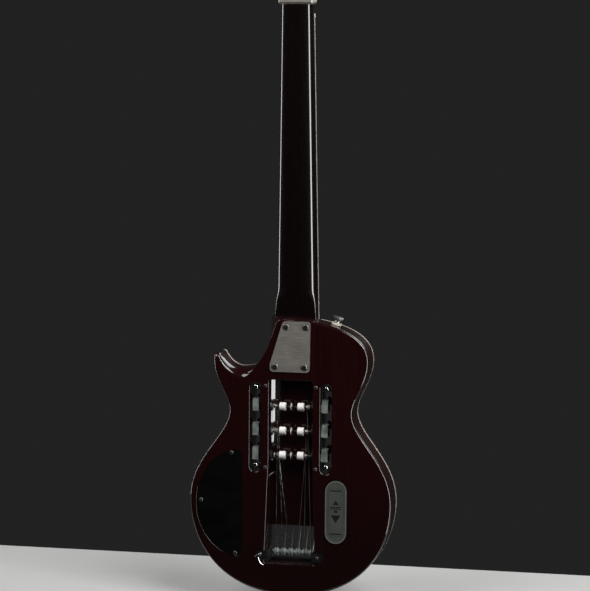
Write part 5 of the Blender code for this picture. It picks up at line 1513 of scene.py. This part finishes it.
def grooved_roller(x):
    """A roller with rounded shoulders, a string groove and a sleeve on each side."""
    bm = bmesh.new()
    shoulder = [(ROLLER_HALF - out, ROLLER_R - down) for out, down in quarter(4, 1.0)]
    groove = [(1.1, ROLLER_R), (0.6, ROLLER_GROOVE_R)]
    half = [(SLEEVE_HALF, SLEEVE_R), (ROLLER_HALF, SLEEVE_R)] + shoulder[::-1] + groove
    profile = half + [(-along, radius) for along, radius in half[::-1]]
    profile += [(-SLEEVE_HALF, AXLE_R + GAP), (SLEEVE_HALF, AXLE_R + GAP)]
    place = axis_frame((x, ROLLER_Y, ROLLER_AXIS_Z), (1, 0, 0))
    skin(bm, [[place @ point for point in circle(radius, along, 36)] for along, radius in profile],
         closed=True)
    return bm


class GUITAR_OT_rollers(bpy.types.Operator):
    """Dress the string rollers and their hanger, with its screws and earth wires"""

    bl_idname = "guitar.rollers"
    bl_label = "Rollers"

    def execute(self, context):
        dress(dull_steel(), "roller_axle")
        dress(blackened_metal(), "roller_hanger")
        for number in range(6):
            add_piece(f"grooved_roller_{number + 1}", grooved_roller(ROLLER_PITCH * (number - 2.5)),
                      roller_plating(), body=f"roller_{number + 1}",
                      stands_for=(f"string_roller_{number + 1}",))
        bm = bmesh.new()
        for x, z in HANGER_SCREWS:
            cross_head(bm, (x, BACK, z), (0, -1, 0), mm(looks().fittings.small_screw) * 0.85, 0.7,
                       turn=x, depth=0.7)
        add_piece("hanger_screws", bm, dull_steel())
        bm = bmesh.new()
        for route in EARTH_WIRES:
            tube(bm, smooth_route([Vector((x, BACK + depth, z)) for x, depth, z in route]), EARTH_WIRE_R, 10)
        add_piece("earth_wires", bm, chrome())
        return {"FINISHED"}


COVER_SCREWS = ((-76.1, 192.2), (-115.9, 129.7), (-70.7, 62.8))


class GUITAR_OT_control_cover(bpy.types.Operator):
    """Dress the control cover and its three screws"""

    bl_idname = "guitar.control_cover"
    bl_label = "Control cover"

    def execute(self, context):
        dress(cover_black(), "control_cover")
        bm = bmesh.new()
        for x, z in COVER_SCREWS:
            cross_head(bm, (x, BACK, z), (0, -1, 0), mm(looks().fittings.small_screw) * 1.1, 0.7,
                       turn=z, depth=0.9)
        add_piece("cover_screws", bm, dull_steel())
        return {"FINISHED"}


MARK_RISE = 0.12
MARK_SUNK = 0.2
# Marks on the battery lid, by height over its middle: arrows (foot, tip, half width) and bars (height,
# half width, thickness)
LID_ARROWS = ((9.8, 15.2, 4.0), (-3.6, -13.4, 6.2))
LID_BARS = ((27.6, 7.4, 1.4), (6.8, 6.6, 1.1), (4.6, 6.6, 1.1), (1.2, 2.2, 2.6), (-27.6, 7.6, 1.4))


class GUITAR_OT_battery_box(bpy.types.Operator):
    """Finish the battery box: its beaded rim, painted pale as a highlight, and the lid's arrows and bars"""

    bl_idname = "guitar.battery_box"
    bl_label = "Battery box"

    def execute(self, context):
        dress(lid_grey(), "battery_frame", "battery_tray")
        dress(battery_case(), "battery")
        low, high = node_span("battery_frame")
        cx, cz = (low.x + high.x) / 2, (low.z + high.z) / 2
        width, length = high.x - low.x, high.z - low.z
        bm = bmesh.new()
        band(bm, stadium(cx, cz, width - 0.3, length - 0.3), stadium(cx, cz, width - 3.1, length - 3.1),
             low.y + 0.2, low.y - 0.5)
        soften(bm, 0.35, 3)
        # The rim's pale plastic is a painted highlight
        add_piece("battery_rim", bm, painted_highlight_rim())
        low, high = node_span("battery_tray")
        face = low.y
        width, length = high.x - low.x, high.z - low.z
        bm = bmesh.new()
        for z, tip, across in LID_ARROWS:
            prism(bm, [(cx - across, cz + z), (cx + across, cz + z), (cx, cz + tip)],
                  face + MARK_SUNK, face - MARK_RISE)
        for z, across, thick in LID_BARS:
            block(bm, (cx - across, face - MARK_RISE, cz + z - thick / 2),
                  (cx + across, face + MARK_SUNK, cz + z + thick / 2))
        add_piece("lid_marks", bm, marking_ink(), body="battery_tray")
        return {"FINISHED"}


class GUITAR_OT_bridge(bpy.types.Operator):
    """Dress the bridge and its studs, and fit the saddle screws"""

    bl_idname = "guitar.bridge"
    bl_label = "Bridge"

    def execute(self, context):
        dress(chrome(), "bridge", "bridge_stud_left", "bridge_stud_right")
        low, high = node_span("bridge")
        bm = bmesh.new()
        for number in range(6):
            x = BRIDGE_SPREAD * (number / 5 - 0.5)
            slotted_head(bm, (x, low.y + 3.2, low.z - 0.1), (0, 0, -1), 1.6, 1.0, turn=0.6 * number)
        add_piece("saddle_screws", bm, chrome())
        bm = bmesh.new()
        for side in ("left", "right"):
            low, high = node_span(f"bridge_stud_{side}")
            centre = (low + high) / 2
            slotted_head(bm, (centre.x, high.y, centre.z), (0, 1, 0), 3.0, 0.7, turn=0.3)
        add_piece("stud_slots", bm, chrome())
        return {"FINISHED"}


class GUITAR_OT_pickup(bpy.types.Operator):
    """Dress the humbucker and its ring, with pole pieces and screws"""

    bl_idname = "guitar.pickup"
    bl_label = "Pickup"

    def execute(self, context):
        dress(chrome(), "humbucker")
        dress(cover_black(), "pickup_ring")
        low, high = node_span("humbucker")
        centre = (low + high) / 2
        bm = bmesh.new()
        for number in range(6):
            x = (BRIDGE_SPREAD - 0.8) * (number / 5 - 0.5)
            slotted_head(bm, (x, high.y, centre.z - 9.2), (0, 1, 0), mm(looks().fittings.pole_piece), 0.55,
                         turn=0.9 + 0.35 * number)
        add_piece("pole_screws", bm, chrome())
        low, high = node_span("pickup_ring")
        bm = bmesh.new()
        for x in (low.x + 3.2, high.x - 3.2):
            for z in (low.z + 3.2, high.z - 3.2):
                cross_head(bm, (x, high.y, z), (0, 1, 0), 1.9, 0.7, turn=x * z, depth=0.7)
            slotted_head(bm, (x, high.y, centre.z), (0, 1, 0), 1.7, 0.7, turn=0.8)
        add_piece("ring_screws", bm, chrome())
        return {"FINISHED"}


class GUITAR_OT_controls(bpy.types.Operator):
    """Dress the knobs, potentiometers, circuit board and output jack"""

    bl_idname = "guitar.controls"
    bl_label = "Controls"

    def execute(self, context):
        dress(cover_black(), "volume_knob", "tone_knob")
        dress(housing_metal(), "volume_pot", "tone_pot")
        dress(chrome(), "output_jack")
        dress(board_green(), "circuit_board")
        return {"FINISHED"}


BUTTON_FACE = 11.2
# Strap button as (distance from its seat, radius), from its screw's tip to its face
BUTTON_PROFILE = (
    (-22.0, 0.5), (-18.0, 2.0), (3.3, 2.0), (3.3, 5.2), (4.6, 4.3), (6.4, 3.9), (7.6, 4.6), (8.6, 6.6),
    (9.0, 7.1), (10.2, 7.2), (10.9, 6.6), (BUTTON_FACE, 5.6),
)


class GUITAR_OT_strap_buttons(bpy.types.Operator):
    """Shape both strap buttons in dull steel, with bone washers, and seat their screws"""

    bl_idname = "guitar.strap_buttons"
    bl_label = "Strap buttons"

    def execute(self, context):
        washers = bmesh.new()
        for name, (seat, normal) in (("upper", upper_button_seat()),
                                     ("tail", (Vector((0, 0, TAIL)), Vector((0, 0, -1))))):
            bm = bmesh.new()
            turned(bm, seat, normal, BUTTON_PROFILE, 40)
            cross_head(bm, seat + normal * BUTTON_FACE, normal, 3.2, 0.3, depth=0.5)
            add_piece(f"turned_button_{name}", bm, dull_steel(),
                      stands_for=(f"strap_button_{name}",))
            turned(washers, seat, normal, [(GAP, 6.0), (GAP + 0.3, 6.4), (3.2, 6.4), (3.5, 6.0)], 40)
        add_piece("button_washers", washers, bone())
        return {"FINISHED"}


class GUITAR_OT_stage(bpy.types.Operator):
    """Lay the pale floor, hang the lamps and place the camera"""

    bl_idname = "guitar.stage"
    bl_label = "Stage"

    def execute(self, context):
        self.lay_paper()
        self.hang_lamps()
        self.place_camera()
        world = bpy.data.worlds.new("soft_world")
        world.use_nodes = True
        world.node_tree.nodes["Background"].inputs["Color"].default_value = (1.0, 1.0, 1.0, 1.0)
        world.node_tree.nodes["Background"].inputs["Strength"].default_value = WORLD_LEVEL
        context.scene.world = world
        context.scene.view_settings.view_transform = "Standard"
        return {"FINISHED"}

    def lay_paper(self):
        """A sheet of paper under the guitar, with rounded corners."""
        width, depth, middle = PAPER
        bm = bmesh.new()
        outline = rounded_rectangle(0, middle, width, depth, PAPER_CORNER, 8)
        bm.faces.new([bm.verts.new((x * MM, y * MM, -FLOOR_GAP * MM)) for x, y in outline])
        bmesh.ops.triangulate(bm, faces=bm.faces[:])
        mesh = bpy.data.meshes.new("paper_sheet")
        bm.to_mesh(mesh)
        bm.free()
        mesh.materials.append(stage_paper())
        sheet = bpy.data.objects.new("paper_sheet", mesh)
        bpy.context.scene.collection.objects.link(sheet)

    def hang_lamps(self):
        level = looks().stage.lamp_level
        for name, azimuth, elevation, distance, width, height, power, floods, shines in LAMPS:
            lamp = bpy.data.lights.new(name, "AREA")
            lamp.shape = "RECTANGLE"
            lamp.size, lamp.size_y = width, height
            lamp.energy = power * level
            holder = bpy.data.objects.new(name, lamp)
            bpy.context.scene.collection.objects.link(holder)
            a, e = math.radians(azimuth), math.radians(elevation)
            offset = Vector((math.sin(a) * math.cos(e), -math.cos(a) * math.cos(e), math.sin(e)))
            holder.matrix_world = axis_frame(LAMP_TARGET + distance * offset, offset)
            holder.visible_diffuse, holder.visible_glossy = floods, shines

    def place_camera(self):
        stage = looks().stage
        a, e, r = stage.azimuth, stage.elevation, stage.roll
        away = Vector((math.sin(a) * math.cos(e), -math.cos(a) * math.cos(e), math.sin(e)))
        right = Vector((math.cos(a), math.sin(a), 0))
        up = away.cross(right)
        turned_right = math.cos(r) * right + math.sin(r) * up
        turned_up = away.cross(turned_right)
        camera = bpy.data.cameras.new("photo_camera")
        camera.sensor_width = 36.0
        camera.lens = stage.focal_length
        camera.clip_end = 50.0
        holder = bpy.data.objects.new("photo_camera", camera)
        bpy.context.scene.collection.objects.link(holder)
        axes = Matrix((turned_right, turned_up, away)).transposed().to_4x4()
        holder.matrix_world = Matrix.Translation(CAMERA_TARGET + stage.distance * away) @ axes
        bpy.context.scene.camera = holder


CAMERA_TARGET = Vector((0, 1.35, 393.0)) * MM
LAMP_TARGET = Vector((0, 0, 350.0)) * MM
WORLD_LEVEL = 0.0155
# Width, depth and middle of the paper, and the air under the guitar's end
PAPER = (2400, 300, 100)
PAPER_CORNER = 120
FLOOR_GAP = 0.3
# Name, azimuth from the back towards the bass side, elevation, distance, width, height, power, whether it
# floods the guitar with light and whether it shows in the gloss
LAMPS = (
    ("key_box", 50, 42, 2.2, 1.3, 1.3, 90, True, True),
    ("fill_box", -45, 40, 2.4, 1.3, 1.3, 60, True, True),
    ("front_box", 145, 35, 2.4, 1.6, 1.6, 60, True, True),
    ("right_strip", 66, 4, 1.6, 0.34, 2.4, 66, False, True),
    ("left_strip", -105, 4, 1.6, 0.30, 2.4, 30, False, True),
)


class GUITAR_PT_looks(bpy.types.Panel):
    """Sizes, colours and building steps of the guitar's looks"""

    bl_idname = "GUITAR_PT_looks"
    bl_label = "Guitar"
    bl_space_type = "VIEW_3D"
    bl_region_type = "UI"
    bl_category = "Guitar"

    def draw(self, context):
        groups = context.scene.guitar_looks
        for group in (groups.colours, groups.fretwork, groups.strings, groups.fittings, groups.stage):
            box = self.layout.box()
            for key in group.__annotations__:
                box.prop(group, key)
        for step in STEPS:
            self.layout.operator(step.bl_idname)


STEPS = (
    GUITAR_OT_body, GUITAR_OT_neck, GUITAR_OT_fingerboard, GUITAR_OT_headpiece, GUITAR_OT_neck_plate,
    GUITAR_OT_tuners, GUITAR_OT_strings, GUITAR_OT_rollers, GUITAR_OT_control_cover, GUITAR_OT_battery_box,
    GUITAR_OT_bridge, GUITAR_OT_pickup, GUITAR_OT_controls, GUITAR_OT_strap_buttons, GUITAR_OT_stage,
)
CLASSES = (FinishColours, FretworkSizes, StringSizes, FittingSizes, StageSettings, GuitarLooks) + STEPS + (
    GUITAR_PT_looks,
)


def register():
    for item in CLASSES:
        bpy.utils.register_class(item)
    bpy.types.Scene.guitar_looks = PointerProperty(type=GuitarLooks)


def unregister():
    del bpy.types.Scene.guitar_looks
    for item in reversed(CLASSES):
        bpy.utils.unregister_class(item)


def main():
    register()
    for step in STEPS:
        group, name = step.bl_idname.split(".")
        getattr(getattr(bpy.ops, group), name)()


if __name__ == "__main__":
    main()
